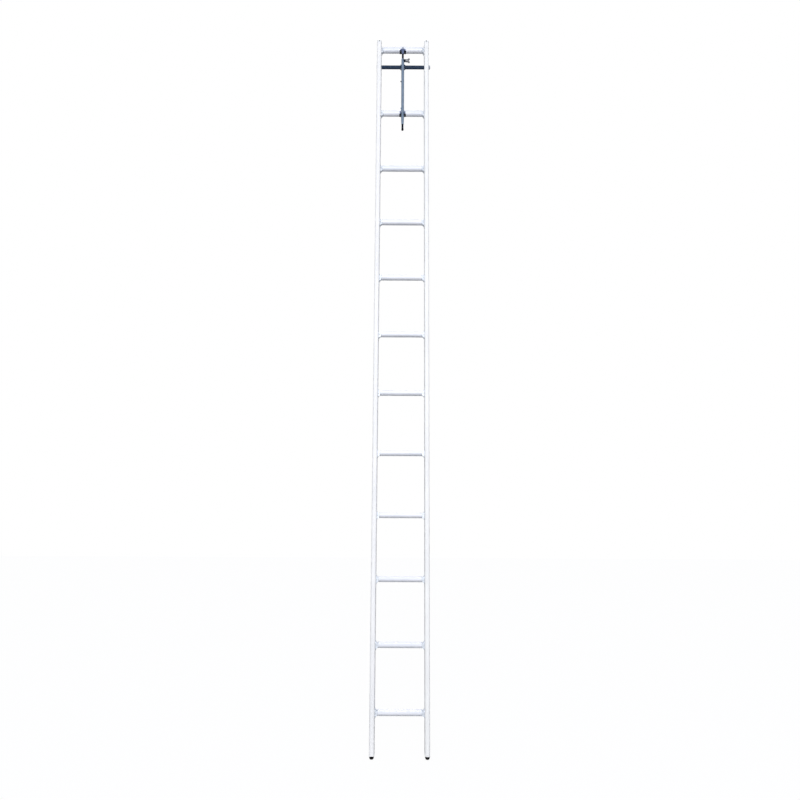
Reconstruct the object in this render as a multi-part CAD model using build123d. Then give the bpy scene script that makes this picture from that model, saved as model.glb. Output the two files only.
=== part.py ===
from build123d import *
import math
import os

# A hook ladder: two aluminium rails, twelve rungs and a steel hook that folds about a cross shaft.
# Millimetres. X runs along the rungs, the hook folds out to -Y, Z is up, the floor is z = 0.

# Ladder layout
RAIL_SPACING = 289.0
RUNG_PITCH = 340.0
RUNG_COUNT = 11
FIRST_RUNG_Z = 218.0
CRADLE_RUNG_RISE = 18.0
SHAFT_DROP = 10.0
TOP_RUNG_RISE = 112.0
RAIL_ABOVE_TOP_RUNG = 39.0

# Fits, and the share of a fastener head's height that its rounded edge takes
FIT = 0.05
SLIDE_GAP = 0.3
HEAD_ROUNDING = 0.7

# Rail extrusion
RAIL_WIDTH = 27.0
RAIL_DEPTH = 60.0
RAIL_WALL = 2.0
CAVITY_CORNER = 5.0
GROOVE_WIDTH = 4.0
GROOVE_DEPTH = 0.8

# Rail caps and feet
PLUG_LENGTH = 24.0
PLUG_CLEARANCE = 0.2
CAP_HEIGHT = 14.0
CAP_FLAT = 6.0
CAP_SHOULDER = 7.0
CAP_SCREW_RISE = 6.0
CAP_SCREW_SEAT = 2.0
CAP_SCREW_HEAD_RADIUS = 3.4
CAP_SCREW_HEAD_HEIGHT = 1.5
CAP_SCREW_RADIUS = 1.75
CAP_SCREW_LENGTH = 16.0
FOOT_HEIGHT = 16.0
FOOT_INSET = 1.5
FOOT_CORNER = 6.0
SOLE_INSET_X = 8.0
SOLE_INSET_Y = 3.0

# Rung extrusion: flat ribbed tread and short straight sides over a half-round belly
RUNG_DEPTH = 36.0
RUNG_SIDE = 10.0
RUNG_WALL = 1.8
RUNG_INNER_CORNER = 1.2
TREAD_GROOVE_PITCH = 4.2
TREAD_GROOVE_WIDTH = 1.8
TREAD_GROOVE_DEPTH = 0.7

# Rung ferrules and their rivets
FLANGE_HEIGHT = 46.0
FLANGE_CORNER = 12.0
FLANGE_THICKNESS = 3.0
FLANGE_MARGIN = 1.4
NECK_DEPTH = 20.0
NECK_LENGTH = 9.5
SHOULDER_THICKNESS = 4.0
FERRULE_PLUG_LENGTH = 24.0
SPIGOT_RADIUS = 9.0
SPIGOT_TAIL = 3.0
RIVET_RADIUS = 2.0
RIVET_HEAD_RADIUS = 3.6
RIVET_HEAD_HEIGHT = 2.0
RIVET_TAIL_RADIUS = 3.0
RIVET_TAIL_HEIGHT = 1.8
RIVET_HEAD_GAP = 0.4

# Cross shaft and what sits on it
SHAFT_RADIUS = 7.0
SHAFT_HEAD_RIM = 5.0
SHAFT_HEAD_HEIGHT = 2.0
SHAFT_HOLE_CLEARANCE = 0.2
SPACER_WALL = 3.5
SLEEVE_WALL = 2.8
WASHER_RIM = 6.8
WASHER_THICKNESS = 2.0
NUT_WALL = 3.5
NUT_HEIGHT = 7.0
SHAFT_END = 1.0

# Hook hub and stop pin
HUB_WALL = 6.0
HUB_WIDTH = 29.0
SADDLE_WALL = 4.4
SADDLE_HEIGHT = 26.0
SADDLE_DROP = 3.0
SADDLE_ROUND = 3.0
BUSH_WALL = 2.0
BUSH_SETBACK = 1.5
BUSH_RIM = 3.5
BUSH_FLANGE = 1.5
RUNNING_CLEARANCE = 0.06
FOLD_ANGLE = 90.0
STOP_PIN_RADIUS = 2.5
STOP_PIN_SETBACK = 1.5
STOP_PIN_ANGLE = -75.0
STOP_SLOT_CLEARANCE = 0.5

# Hook tube and beak; the beak and the lock rod are cut from the same round bar
BAR_RADIUS = 6.0
TUBE_WALL = 2.3
TUBE_RISE = 32.0
TUBE_BELOW_CRADLE = 87.0
TUBE_TAPER = 30.0
TUBE_TIP_WALL = 1.05
TUBE_REST_GAP = 0.4
BEAK_BEND_RADIUS = 16.0
BEAK_STRAIGHT = 5.0
BEAK_ABOVE_RIVET = 41.0
BEAK_RIVET_RISE = 18.0
BEAK_RIVET_RADIUS = 2.5
BEAK_RIVET_HEAD_RADIUS = 4.5
BEAK_RIVET_HEAD_HEIGHT = 3.4
TIP_WALL = 0.85
TIP_LENGTH = 11.0
TIP_END = 3.0
TIP_ROUND = 3.5

# Lock rod and its thumb pin
ROD_ABOVE_TUBE = 38.0
ROD_LENGTH = 196.0
ROD_NOSE_FLAT = 1.0
ROD_TRAVEL = 22.0
THUMB_PIN_HEIGHT = 10.0
THUMB_PIN_RADIUS = 2.4
THUMB_PIN_DEPTH = 10.0
THUMB_HEAD_RADIUS = 3.9
THUMB_HEAD_LENGTH = 4.0
THUMB_HEAD_ROUND = 1.2
THUMB_HEAD_GAP = 0.6

# Wing screw, its boss and its pressure pad
WING_BELOW_TUBE_TOP = 9.0
BOSS_WALL = 4.2
BOSS_LENGTH = 8.4
SCREW_RADIUS = 4.0
SCREW_CLEARANCE = 0.08
PAD_LENGTH = 3.2
WING_HUB_GAP = 0.8
WING_HUB_RADIUS = 9.0
WING_HUB_TOP_RADIUS = 8.0
WING_HUB_LENGTH = 16.0
WING_THICKNESS = 4.2
WING_ROOT_RADIUS = 7.5
WING_TIP_RADIUS = 5.0
WING_SPAN = 31.0
WING_REACH = 25.0
WING_EDGE = 1.1

# Brackets on the top rung (catch) and on the rung below the shaft (cradle)
BAND_THICKNESS = 2.0
BAND_SCREW_RADIUS = 2.4
BAND_SCREW_HEAD_RADIUS = 4.0
BAND_SCREW_HEAD_HEIGHT = 2.6
BAND_SCREW_LENGTH = 12.0
CATCH_SWING_GAP = 6.5
CATCH_WALL = 9.6
CATCH_FRONT_WALL = 5.1
CATCH_DEPTH_BACK = 15.0
CATCH_TOP_DROP = 15.5
CATCH_TOP_WIDTH = 24.0
CATCH_SHOULDER = 6.0
CATCH_SLOPE = 2.0
HEEL_WIDTH = 14.0
HEEL_GAP = 0.5
HEEL_DEPTH = 11.5
HEEL_RISE = 8.0
CROWN_RADIUS = 11.0
CROWN_HEIGHT = 16.5
CROWN_TAPER = 18.0
CROWN_ROUND = 3.0
SOCKET_CLEARANCE = 0.4
SOCKET_SPARE = 1.5
LIP_WIDTH = 12.4
LIP_LENGTH = 20.7
LIP_GAP = 0.8
CRADLE_GAP = 0.7
CRADLE_LIP = 0.4
CRADLE_DEPTH_BACK = 16.0
JAW_THICKNESS = 7.7
JAW_DROP = 6.0
JAW_HEIGHT = 16.0
CHEEK_HEIGHT = 5.5
CHEEK_SETBACK = 0.4
CHEEK_OVERHANG = 3.0
CHEEK_EDGE = 1.5
CHEEK_ROD_GAP = 1.5
CHEEK_SCREW_RADIUS = 1.9
CHEEK_SCREW_LENGTH = 11.0
CHEEK_SCREW_HEAD_RADIUS = 3.2
CHEEK_SCREW_HEAD_HEIGHT = 1.8

# Worked-out sections
RAIL_CORNER = CAVITY_CORNER + RAIL_WALL
CAVITY_WIDTH = RAIL_WIDTH - 2 * RAIL_WALL
CAVITY_DEPTH = RAIL_DEPTH - 2 * RAIL_WALL
FOOT_WIDTH = RAIL_WIDTH - 2 * FOOT_INSET
FOOT_DEPTH = RAIL_DEPTH - 2 * FOOT_INSET
SOLE_WIDTH = FOOT_WIDTH - 2 * SOLE_INSET_X
SOLE_DEPTH = FOOT_DEPTH - 2 * SOLE_INSET_Y
RUNG_HEIGHT = RUNG_SIDE + RUNG_DEPTH / 2
RUNG_CORNER = RUNG_INNER_CORNER + RUNG_WALL
BELLY_CENTRE = RUNG_HEIGHT / 2 - RUNG_SIDE
TREAD_GROOVE_STEPS = (RUNG_DEPTH - 2 * RUNG_CORNER - TREAD_GROOVE_WIDTH) // TREAD_GROOVE_PITCH
RIVET_SPAN = NECK_DEPTH + 2 * (RIVET_HEAD_GAP + RIVET_HEAD_RADIUS)
FLANGE_LENGTH = RIVET_SPAN + 2 * (RIVET_HEAD_RADIUS + FLANGE_MARGIN)
FERRULE_STANDOFF = FLANGE_THICKNESS + NECK_LENGTH + SHOULDER_THICKNESS
SHAFT_BORE = SHAFT_RADIUS + SHAFT_HOLE_CLEARANCE
BUSH_RADIUS = SHAFT_RADIUS + BUSH_WALL
HUB_RADIUS = BUSH_RADIUS + HUB_WALL
STOP_PIN_REACH = HUB_RADIUS - STOP_PIN_SETBACK
STOP_SLOT_HALF = STOP_PIN_RADIUS + STOP_SLOT_CLEARANCE
TUBE_BORE = BAR_RADIUS + SLIDE_GAP
TUBE_RADIUS = TUBE_BORE + TUBE_WALL
BEAK_SEAT = BAR_RADIUS + FIT
SCREW_BORE = SCREW_RADIUS + SCREW_CLEARANCE
BOSS_RADIUS = SCREW_RADIUS + BOSS_WALL
SOCKET_RADIUS = BAR_RADIUS + SOCKET_CLEARANCE
ROD_NOSE = BAR_RADIUS - ROD_NOSE_FLAT

# Worked-out places
RAIL_X = RAIL_SPACING / 2
RAIL_INNER_X = RAIL_X - RAIL_WIDTH / 2
RAIL_OUTER_X = RAIL_X + RAIL_WIDTH / 2
RUNG_LENGTH = 2 * (RAIL_INNER_X - FERRULE_STANDOFF)
SHAFT_Z = FIRST_RUNG_Z + RUNG_COUNT * RUNG_PITCH - SHAFT_DROP
TOP_RUNG_Z = SHAFT_Z + TOP_RUNG_RISE
RAIL_TOP_Z = TOP_RUNG_Z + RAIL_ABOVE_TOP_RUNG
REGULAR_RUNG_Z = [FIRST_RUNG_Z + i * RUNG_PITCH for i in range(RUNG_COUNT - 1)]
CRADLE_RUNG_Z = REGULAR_RUNG_Z[-1] + RUNG_PITCH + CRADLE_RUNG_RISE
RUNG_Z = REGULAR_RUNG_Z + [CRADLE_RUNG_Z, TOP_RUNG_Z]
HOOK_Y = -(RUNG_DEPTH / 2 + BAND_THICKNESS + TUBE_REST_GAP + TUBE_RADIUS)
TUBE_TOP_Z = SHAFT_Z + TUBE_RISE
TUBE_BOTTOM_Z = CRADLE_RUNG_Z - TUBE_BELOW_CRADLE
BEAK_Z = TUBE_BOTTOM_Z - BEAK_BEND_RADIUS
BEAK_END_Y = HOOK_Y + BEAK_BEND_RADIUS + BEAK_STRAIGHT + TIP_LENGTH
BEAK_RIVET_Z = CRADLE_RUNG_Z + BEAK_RIVET_RISE
BEAK_TOP_Z = BEAK_RIVET_Z + BEAK_ABOVE_RIVET
ROD_TOP_Z = TUBE_TOP_Z + ROD_ABOVE_TUBE
ROD_BOTTOM_Z = ROD_TOP_Z - ROD_LENGTH
THUMB_PIN_Z = ROD_BOTTOM_Z + THUMB_PIN_HEIGHT
WING_Z = TUBE_TOP_Z - WING_BELOW_TUBE_TOP
BOSS_END_X = TUBE_RADIUS + BOSS_LENGTH
PAD_X = BAR_RADIUS + SLIDE_GAP
SCREW_TIP_X = PAD_X + PAD_LENGTH + SLIDE_GAP
WING_HUB_X = BOSS_END_X + WING_HUB_GAP
NOSE_SWING = math.hypot(HOOK_Y, ROD_TOP_Z - ROD_NOSE - SHAFT_Z) + BAR_RADIUS
CATCH_Z = SHAFT_Z + NOSE_SWING + CATCH_SWING_GAP
CATCH_HALF_WIDTH = SOCKET_RADIUS + CATCH_WALL
CATCH_FRONT_Y = HOOK_Y - SOCKET_RADIUS - CATCH_FRONT_WALL
CATCH_BACK_Y = HOOK_Y + CATCH_DEPTH_BACK
CATCH_TOP_Z = TOP_RUNG_Z - CATCH_TOP_DROP
SOCKET_TOP_Z = ROD_TOP_Z + ROD_TRAVEL + SOCKET_SPARE
JAW_X = TUBE_RADIUS + CRADLE_GAP
JAW_SIDE_X = JAW_X + JAW_THICKNESS
JAW_TOP_Z = CRADLE_RUNG_Z - JAW_DROP
JAW_BOTTOM_Z = JAW_TOP_Z - JAW_HEIGHT
CRADLE_FRONT_Y = HOOK_Y - TUBE_RADIUS - CRADLE_LIP
CRADLE_BACK_Y = HOOK_Y + CRADLE_DEPTH_BACK
BAND_WIDTH = 2 * JAW_SIDE_X
CHEEK_SIDE_X = JAW_SIDE_X + CHEEK_OVERHANG
BAND_SCREW_Z = (BELLY_CENTRE + RUNG_HEIGHT / 2 - RUNG_CORNER) / 2


def round_bar(radius, start, end):
    """Solid round bar between two points."""
    axis = Vector(*end) - Vector(*start)
    return extrude(Plane(origin=start, z_dir=axis) * Circle(radius), amount=axis.length)


def block(x_span, y_span, z_span):
    """Rectangular block between two limits on each axis."""
    spans = (x_span, y_span, z_span)
    sizes = [high - low for low, high in spans]
    centre = [(low + high) / 2 for low, high in spans]
    return Pos(*centre) * Box(*sizes)


def prism(outline, length):
    """Outline drawn in Y and Z, carried along X to both sides of the middle."""
    return extrude(Plane.YZ * outline, amount=length / 2, both=True)


def group(solids):
    """Several separate solids in one node."""
    return Compound(children=list(solids))


def domed_head(radius, seat, crown):
    """Round fastener head from its seat to its crown, with the crown's edge rounded."""
    head = round_bar(radius, seat, crown)
    height = (Vector(*crown) - Vector(*seat)).length
    rim = head.edges().filter_by(GeomType.CIRCLE).sort_by_distance(Vertex(*crown))[0]
    return fillet(rim, height * HEAD_ROUNDING)


def hex_nut(thread_radius, wall, height):
    """Hexagon nut on the Z axis with its bottom at zero and its upper corners turned down to the flats."""
    flat = thread_radius + wall
    corner = flat / math.cos(math.pi / 6)
    body = extrude(RegularPolygon(corner, 6), amount=height)
    turned = extrude(Circle(corner), amount=height)
    turned = chamfer(turned.edges().group_by(Axis.Z)[-1], corner - flat)
    return (body & turned) - extrude(Circle(thread_radius + FIT), amount=height)


def arch(width, flat, height):
    """Face with a straight foot on the X axis, rounded shoulders and a flat crown."""
    half_width = width / 2
    half_flat = flat / 2
    turn = math.sqrt(0.5)
    shoulder = (half_flat + (half_width - half_flat) * turn, height * turn)
    right = ThreePointArc((half_width, 0), shoulder, (half_flat, height))
    crown = Line((half_flat, height), (-half_flat, height))
    left = ThreePointArc((-half_flat, height), (-shoulder[0], shoulder[1]), (-half_width, 0))
    foot = Line((-half_width, 0), (half_width, 0))
    return make_face([right, crown, left, foot])


def dome(width, depth, corner, flat_width, flat_depth, height):
    """Rounded block on z = 0 whose crown narrows to a small flat."""
    front = extrude(Plane.XZ * arch(width, flat_width, height), amount=depth / 2, both=True)
    side = prism(arch(depth, flat_depth, height), width)
    stem = extrude(RectangleRounded(width, depth, corner), amount=height)
    return front & side & stem


def rail_plug(length):
    """Block that fills a rail's cavity, from z = 0 downwards."""
    outline = RectangleRounded(
        CAVITY_WIDTH - 2 * PLUG_CLEARANCE,
        CAVITY_DEPTH - 2 * PLUG_CLEARANCE,
        CAVITY_CORNER - PLUG_CLEARANCE,
    )
    return extrude(outline, amount=-length)


def rung_profile(grow=0.0):
    """Rung section about its own axis, grown outwards by an even amount."""
    half = RUNG_DEPTH / 2 + grow
    top = RUNG_HEIGHT / 2 + grow
    sides = Polyline((-half, BELLY_CENTRE), (-half, top), (half, top), (half, BELLY_CENTRE))
    belly = ThreePointArc((half, BELLY_CENTRE), (0, BELLY_CENTRE - half), (-half, BELLY_CENTRE))
    face = make_face([sides, belly])
    return fillet(face.vertices().group_by(Axis.Y)[-1], RUNG_CORNER + grow)


def band_screw_hole():
    """Hole of the screw that pins a strap to the back of its rung, about the rung's axis."""
    return round_bar(BAND_SCREW_RADIUS + FIT, (0, 0, BAND_SCREW_Z), (0, RUNG_DEPTH, BAND_SCREW_Z))


def rung(holes=()):
    """Hollow rung about its own axis, ribbed on the tread."""
    bar = prism(rung_profile(), RUNG_LENGTH) - prism(rung_profile(-RUNG_WALL), RUNG_LENGTH)
    tread = RUNG_HEIGHT / 2
    for i in range(int(TREAD_GROOVE_STEPS) + 1):
        y = (i - TREAD_GROOVE_STEPS / 2) * TREAD_GROOVE_PITCH
        bar -= block(
            (-RUNG_LENGTH / 2, RUNG_LENGTH / 2),
            (y - TREAD_GROOVE_WIDTH / 2, y + TREAD_GROOVE_WIDTH / 2),
            (tread - TREAD_GROOVE_DEPTH, tread + TREAD_GROOVE_DEPTH),
        )
    for hole in holes:
        bar -= hole
    return bar


def rivet_places():
    """Y places of a ferrule's two rivets."""
    return [-RIVET_SPAN / 2, RIVET_SPAN / 2]


def ferrule():
    """Left rung end: x = 0 is the rail's inner face, the rung lies towards +X and flares to the flange."""
    flange = Plane.YZ * RectangleRounded(FLANGE_LENGTH, FLANGE_HEIGHT, FLANGE_CORNER)
    body = extrude(flange, amount=FLANGE_THICKNESS)
    neck_end = FLANGE_THICKNESS + NECK_LENGTH
    root = FLANGE_HEIGHT / 2 - FLANGE_MARGIN
    high = RUNG_HEIGHT / 2 - RUNG_CORNER
    low = BELLY_CENTRE - math.sqrt((RUNG_DEPTH / 2) ** 2 - (NECK_DEPTH / 2) ** 2)
    neck = make_face(Polyline((0, root), (neck_end, high), (neck_end, low), (0, -root), close=True))
    body += extrude(Plane.XZ * neck, amount=NECK_DEPTH / 2, both=True)
    shoulder = Plane.YZ.offset(neck_end) * rung_profile()
    body += extrude(shoulder, amount=SHOULDER_THICKNESS)
    plug = Plane.YZ.offset(neck_end) * rung_profile(-RUNG_WALL - FIT)
    body += extrude(plug, amount=SHOULDER_THICKNESS + FERRULE_PLUG_LENGTH)
    body += round_bar(SPIGOT_RADIUS, (-RAIL_WALL - SPIGOT_TAIL, 0, 0), (0, 0, 0))
    for y in rivet_places():
        body -= round_bar(RIVET_RADIUS + FIT, (0, y, 0), (FLANGE_THICKNESS, y, 0))
    return body


def ferrule_rivet():
    """Rivet of a left ferrule, on the X axis, with x = 0 at the rail's inner face."""
    head_x = FLANGE_THICKNESS
    tail_x = -RAIL_WALL
    head = domed_head(RIVET_HEAD_RADIUS, (head_x, 0, 0), (head_x + RIVET_HEAD_HEIGHT, 0, 0))
    shank = round_bar(RIVET_RADIUS, (tail_x, 0, 0), (head_x, 0, 0))
    tail = round_bar(RIVET_TAIL_RADIUS, (tail_x - RIVET_TAIL_HEIGHT, 0, 0), (tail_x, 0, 0))
    return head + shank + tail


def on_side(piece, side):
    """Left-hand piece put on the inner face of the left (-1) or the right (+1) rail."""
    left = Pos(-RAIL_INNER_X, 0, 0) * piece
    return left if side < 0 else Rot(0, 0, 180) * left


def rail(side):
    """Hollow rail with its holes for ferrules, rivets and the cross shaft."""
    length = RAIL_TOP_Z - FOOT_HEIGHT
    body = extrude(RectangleRounded(RAIL_WIDTH, RAIL_DEPTH, RAIL_CORNER), amount=length)
    body -= extrude(RectangleRounded(CAVITY_WIDTH, CAVITY_DEPTH, CAVITY_CORNER), amount=length)
    body -= block(
        (-GROOVE_WIDTH / 2, GROOVE_WIDTH / 2),
        (-RAIL_DEPTH / 2 - GROOVE_DEPTH, -RAIL_DEPTH / 2 + GROOVE_DEPTH),
        (0, length),
    )
    body = Pos(side * RAIL_X, 0, FOOT_HEIGHT) * body
    inside = side * (RAIL_INNER_X - RAIL_WALL)
    middle = side * RAIL_X
    for z in RUNG_Z:
        body -= round_bar(SPIGOT_RADIUS + FIT, (inside, 0, z), (middle, 0, z))
        for y in rivet_places():
            body -= round_bar(RIVET_RADIUS + FIT, (inside, y, z), (middle, y, z))
    return body - round_bar(SHAFT_BORE, (-RAIL_OUTER_X, 0, SHAFT_Z), (RAIL_OUTER_X, 0, SHAFT_Z))


def cap_screw_line():
    """Mouth of the recess, seat and tip of a cap's screw, about the middle of the rail's top."""
    front = -RAIL_DEPTH / 2
    seat = front + CAP_SCREW_SEAT
    return [(0, y, CAP_SCREW_RISE) for y in (front, seat, seat + CAP_SCREW_LENGTH)]


def rail_cap(side):
    """Plastic cap, round as seen from the front, with a plug inside the rail and a screw recess in front."""
    body = dome(RAIL_WIDTH, RAIL_DEPTH, RAIL_CORNER, CAP_FLAT, RAIL_DEPTH - 2 * CAP_SHOULDER, CAP_HEIGHT)
    body += rail_plug(PLUG_LENGTH)
    mouth, seat, tip = cap_screw_line()
    body -= round_bar(CAP_SCREW_HEAD_RADIUS + SLIDE_GAP, mouth, seat)
    body -= round_bar(CAP_SCREW_RADIUS + FIT, seat, tip)
    return Pos(side * RAIL_X, 0, RAIL_TOP_Z) * body


def cap_screw(side):
    """Small dark screw in the front of a cap, close under its crown."""
    seat, tip = cap_screw_line()[1:]
    crown = (seat[0], seat[1] - CAP_SCREW_HEAD_HEIGHT, seat[2])
    body = domed_head(CAP_SCREW_HEAD_RADIUS, seat, crown) + round_bar(CAP_SCREW_RADIUS, seat, tip)
    return Pos(side * RAIL_X, 0, RAIL_TOP_Z) * body


def foot(side):
    """Rubber foot: a dome with a flat sole under the rail and a plug inside it."""
    sole = dome(FOOT_WIDTH, FOOT_DEPTH, FOOT_CORNER, SOLE_WIDTH, SOLE_DEPTH, FOOT_HEIGHT)
    body = Rot(180, 0, 0) * sole
    body += Rot(180, 0, 0) * rail_plug(PLUG_LENGTH)
    return Pos(side * RAIL_X, 0, FOOT_HEIGHT) * body


def stop_pin_line():
    """Start and end points of the stop pin, which crosses the shaft."""
    angle = math.radians(STOP_PIN_ANGLE)
    out = Vector(0, math.cos(angle), math.sin(angle))
    middle = Vector(0, 0, SHAFT_Z)
    return middle - out * SHAFT_RADIUS, middle + out * STOP_PIN_REACH


def pivot_shaft():
    """Long shaft through both rails: a low head on the left, a threaded end on the right."""
    left = -RAIL_OUTER_X
    right = RAIL_OUTER_X + WASHER_THICKNESS + NUT_HEIGHT + SHAFT_END
    head_radius = SHAFT_RADIUS + SHAFT_HEAD_RIM
    head = domed_head(head_radius, (left, 0, SHAFT_Z), (left - SHAFT_HEAD_HEIGHT, 0, SHAFT_Z))
    body = head + round_bar(SHAFT_RADIUS, (left, 0, SHAFT_Z), (right, 0, SHAFT_Z))
    start, end = stop_pin_line()
    return body - round_bar(STOP_PIN_RADIUS + FIT, start, end)


def stop_pin():
    """Pin through the shaft whose end runs in the hub's slot."""
    start, end = stop_pin_line()
    return round_bar(STOP_PIN_RADIUS, start, end)


def shaft_tube(wall, x_start, x_end):
    """Tube that sits on the shaft between two places along it."""
    outer = round_bar(SHAFT_BORE + wall, (x_start, 0, SHAFT_Z), (x_end, 0, SHAFT_Z))
    return outer - round_bar(SHAFT_BORE, (x_start, 0, SHAFT_Z), (x_end, 0, SHAFT_Z))


def shaft_spacer(side):
    """Dark tube between a rail and the hub."""
    hub_end = HUB_WIDTH / 2 + BUSH_FLANGE + SLIDE_GAP
    return shaft_tube(SPACER_WALL, *sorted((side * hub_end, side * RAIL_INNER_X)))


def rail_sleeve(side):
    """Crush sleeve inside a rail, between its two walls."""
    ends = (side * (RAIL_INNER_X + RAIL_WALL), side * (RAIL_OUTER_X - RAIL_WALL))
    return shaft_tube(SLEEVE_WALL, *sorted(ends))


def shaft_nut():
    """Thin nut on the shaft's right end."""
    nut = hex_nut(SHAFT_RADIUS, NUT_WALL, NUT_HEIGHT)
    return Pos(RAIL_OUTER_X + WASHER_THICKNESS, 0, SHAFT_Z) * Rot(0, 90, 0) * nut


def hub_slot():
    """Window in the hub's wall that the stop pin runs in, as wide as the fold needs."""
    margin = math.degrees(math.asin(STOP_SLOT_HALF / BUSH_RADIUS))
    start = STOP_PIN_ANGLE - margin
    sweep_angle = FOLD_ANGLE + 2 * margin
    reach = 2 * HUB_RADIUS
    rim = CenterArc((0, 0), reach, start, sweep_angle)
    sector = make_face([Line((0, 0), rim @ 0), rim, Line(rim @ 1, (0, 0))])
    return Pos(0, 0, SHAFT_Z) * prism(sector, 2 * STOP_SLOT_HALF)


def pivot_hub():
    """Sleeve on the shaft with a saddle in front that carries the hook tube."""
    half = HUB_WIDTH / 2
    body = round_bar(HUB_RADIUS, (-half, 0, SHAFT_Z), (half, 0, SHAFT_Z))
    seat_low = -SADDLE_DROP - SADDLE_HEIGHT
    web_corners = [(0, HUB_RADIUS), (HOOK_Y, -SADDLE_DROP), (HOOK_Y, seat_low), (0, -HUB_RADIUS)]
    web = make_face(Polyline(*web_corners, close=True))
    web = fillet(web.vertices().group_by(Axis.X)[0], SADDLE_ROUND)
    body += Pos(0, 0, SHAFT_Z) * prism(web, 2 * (TUBE_RADIUS + SADDLE_WALL))
    body -= round_bar(TUBE_RADIUS + FIT, (0, HOOK_Y, TUBE_BOTTOM_Z), (0, HOOK_Y, TUBE_TOP_Z))
    body -= round_bar(BUSH_RADIUS, (-half, 0, SHAFT_Z), (half, 0, SHAFT_Z))
    return body - hub_slot()


def hub_bush(side):
    """Flanged bush pressed into one end of the hub, running on the shaft."""
    face = HUB_WIDTH / 2
    ends = [side * x for x in (STOP_SLOT_HALF + BUSH_SETBACK, face, face + BUSH_FLANGE)]
    body = round_bar(BUSH_RADIUS - FIT, (ends[0], 0, SHAFT_Z), (ends[1], 0, SHAFT_Z))
    body += round_bar(BUSH_RADIUS + BUSH_RIM, (ends[1], 0, SHAFT_Z), (ends[2], 0, SHAFT_Z))
    bore = SHAFT_RADIUS + RUNNING_CLEARANCE
    return body - round_bar(bore, (ends[0], 0, SHAFT_Z), (ends[2], 0, SHAFT_Z))


def beak_rivet_hole():
    """Hole for the rivet that holds the beak in the tube."""
    ends = [(side * 2 * TUBE_RADIUS, HOOK_Y, BEAK_RIVET_Z) for side in (-1, 1)]
    return round_bar(BEAK_RIVET_RADIUS + FIT, *ends)


def hook_tube():
    """Steel tube of the hook: swaged in at the foot, slotted for the thumb pin."""
    taper_top = TUBE_BOTTOM_Z + TUBE_TAPER
    section = Polyline(
        (TUBE_BORE, TUBE_TOP_Z),
        (TUBE_RADIUS, TUBE_TOP_Z),
        (TUBE_RADIUS, taper_top),
        (BEAK_SEAT + TUBE_TIP_WALL, TUBE_BOTTOM_Z),
        (BEAK_SEAT, TUBE_BOTTOM_Z),
        (BEAK_SEAT, taper_top),
        (TUBE_BORE, taper_top),
        close=True,
    )
    body = Pos(0, HOOK_Y, 0) * revolve(Plane.XZ * make_face(section), Axis.Z)
    slot_width = 2 * (THUMB_PIN_RADIUS + SLIDE_GAP)
    slot = Rot(0, 0, 90) * SlotOverall(ROD_TRAVEL + slot_width, slot_width)
    slot_plane = Plane(
        origin=(0, HOOK_Y, THUMB_PIN_Z + ROD_TRAVEL / 2), x_dir=(0, 1, 0), z_dir=(-1, 0, 0)
    )
    body -= extrude(slot_plane * slot, amount=2 * TUBE_RADIUS)
    body -= round_bar(SCREW_BORE, (0, HOOK_Y, WING_Z), (BOSS_END_X, HOOK_Y, WING_Z))
    return body - beak_rivet_hole()


def clamp_boss():
    """Threaded boss on the tube's right side."""
    body = round_bar(BOSS_RADIUS, (0, HOOK_Y, WING_Z), (BOSS_END_X, HOOK_Y, WING_Z))
    low = WING_Z - 2 * BOSS_RADIUS
    high = WING_Z + 2 * BOSS_RADIUS
    body -= round_bar(TUBE_RADIUS, (0, HOOK_Y, low), (0, HOOK_Y, high))
    return body - round_bar(SCREW_BORE, (0, HOOK_Y, WING_Z), (BOSS_END_X, HOOK_Y, WING_Z))


def hook_beak():
    """Round bar fixed in the tube's foot and bent back towards the ladder."""
    top = (0, HOOK_Y, BEAK_TOP_Z)
    corner = (0, HOOK_Y, BEAK_Z)
    end = (0, BEAK_END_Y - TIP_END, BEAK_Z)
    path = FilletPolyline(top, corner, end, radius=BEAK_BEND_RADIUS)
    section = Plane(origin=top, z_dir=(0, 0, -1)) * Circle(BAR_RADIUS)
    return sweep(section, path=path) - beak_rivet_hole()


def beak_tip():
    """Black cup over the end of the beak."""
    mouth = (0, BEAK_END_Y - TIP_LENGTH, BEAK_Z)
    body = round_bar(BEAK_SEAT + TIP_WALL, mouth, (0, BEAK_END_Y, BEAK_Z))
    body = fillet(body.edges().group_by(Axis.Y)[-1], TIP_ROUND)
    return body - round_bar(BEAK_SEAT, mouth, (0, BEAK_END_Y - TIP_END, BEAK_Z))


def beak_rivet():
    """Rivet through tube and beak, with its head on the left."""
    left = -TUBE_RADIUS
    seat = (left, HOOK_Y, BEAK_RIVET_Z)
    crown = (left - BEAK_RIVET_HEAD_HEIGHT, HOOK_Y, BEAK_RIVET_Z)
    head = domed_head(BEAK_RIVET_HEAD_RADIUS, seat, crown)
    return head + round_bar(BEAK_RIVET_RADIUS, seat, (TUBE_RADIUS, HOOK_Y, BEAK_RIVET_Z))


def thumb_pin_end():
    """Inner end of the thumb pin, inside the lock rod."""
    return (THUMB_PIN_DEPTH - BAR_RADIUS, HOOK_Y, THUMB_PIN_Z)


def lock_rod():
    """Black rod that slides in the tube's upper half and rises into the catch."""
    body = round_bar(BAR_RADIUS, (0, HOOK_Y, ROD_BOTTOM_Z), (0, HOOK_Y, ROD_TOP_Z))
    body = fillet(body.edges().group_by(Axis.Z)[-1], ROD_NOSE)
    return body - round_bar(THUMB_PIN_RADIUS + FIT, thumb_pin_end(), (-BAR_RADIUS, HOOK_Y, THUMB_PIN_Z))


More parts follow.
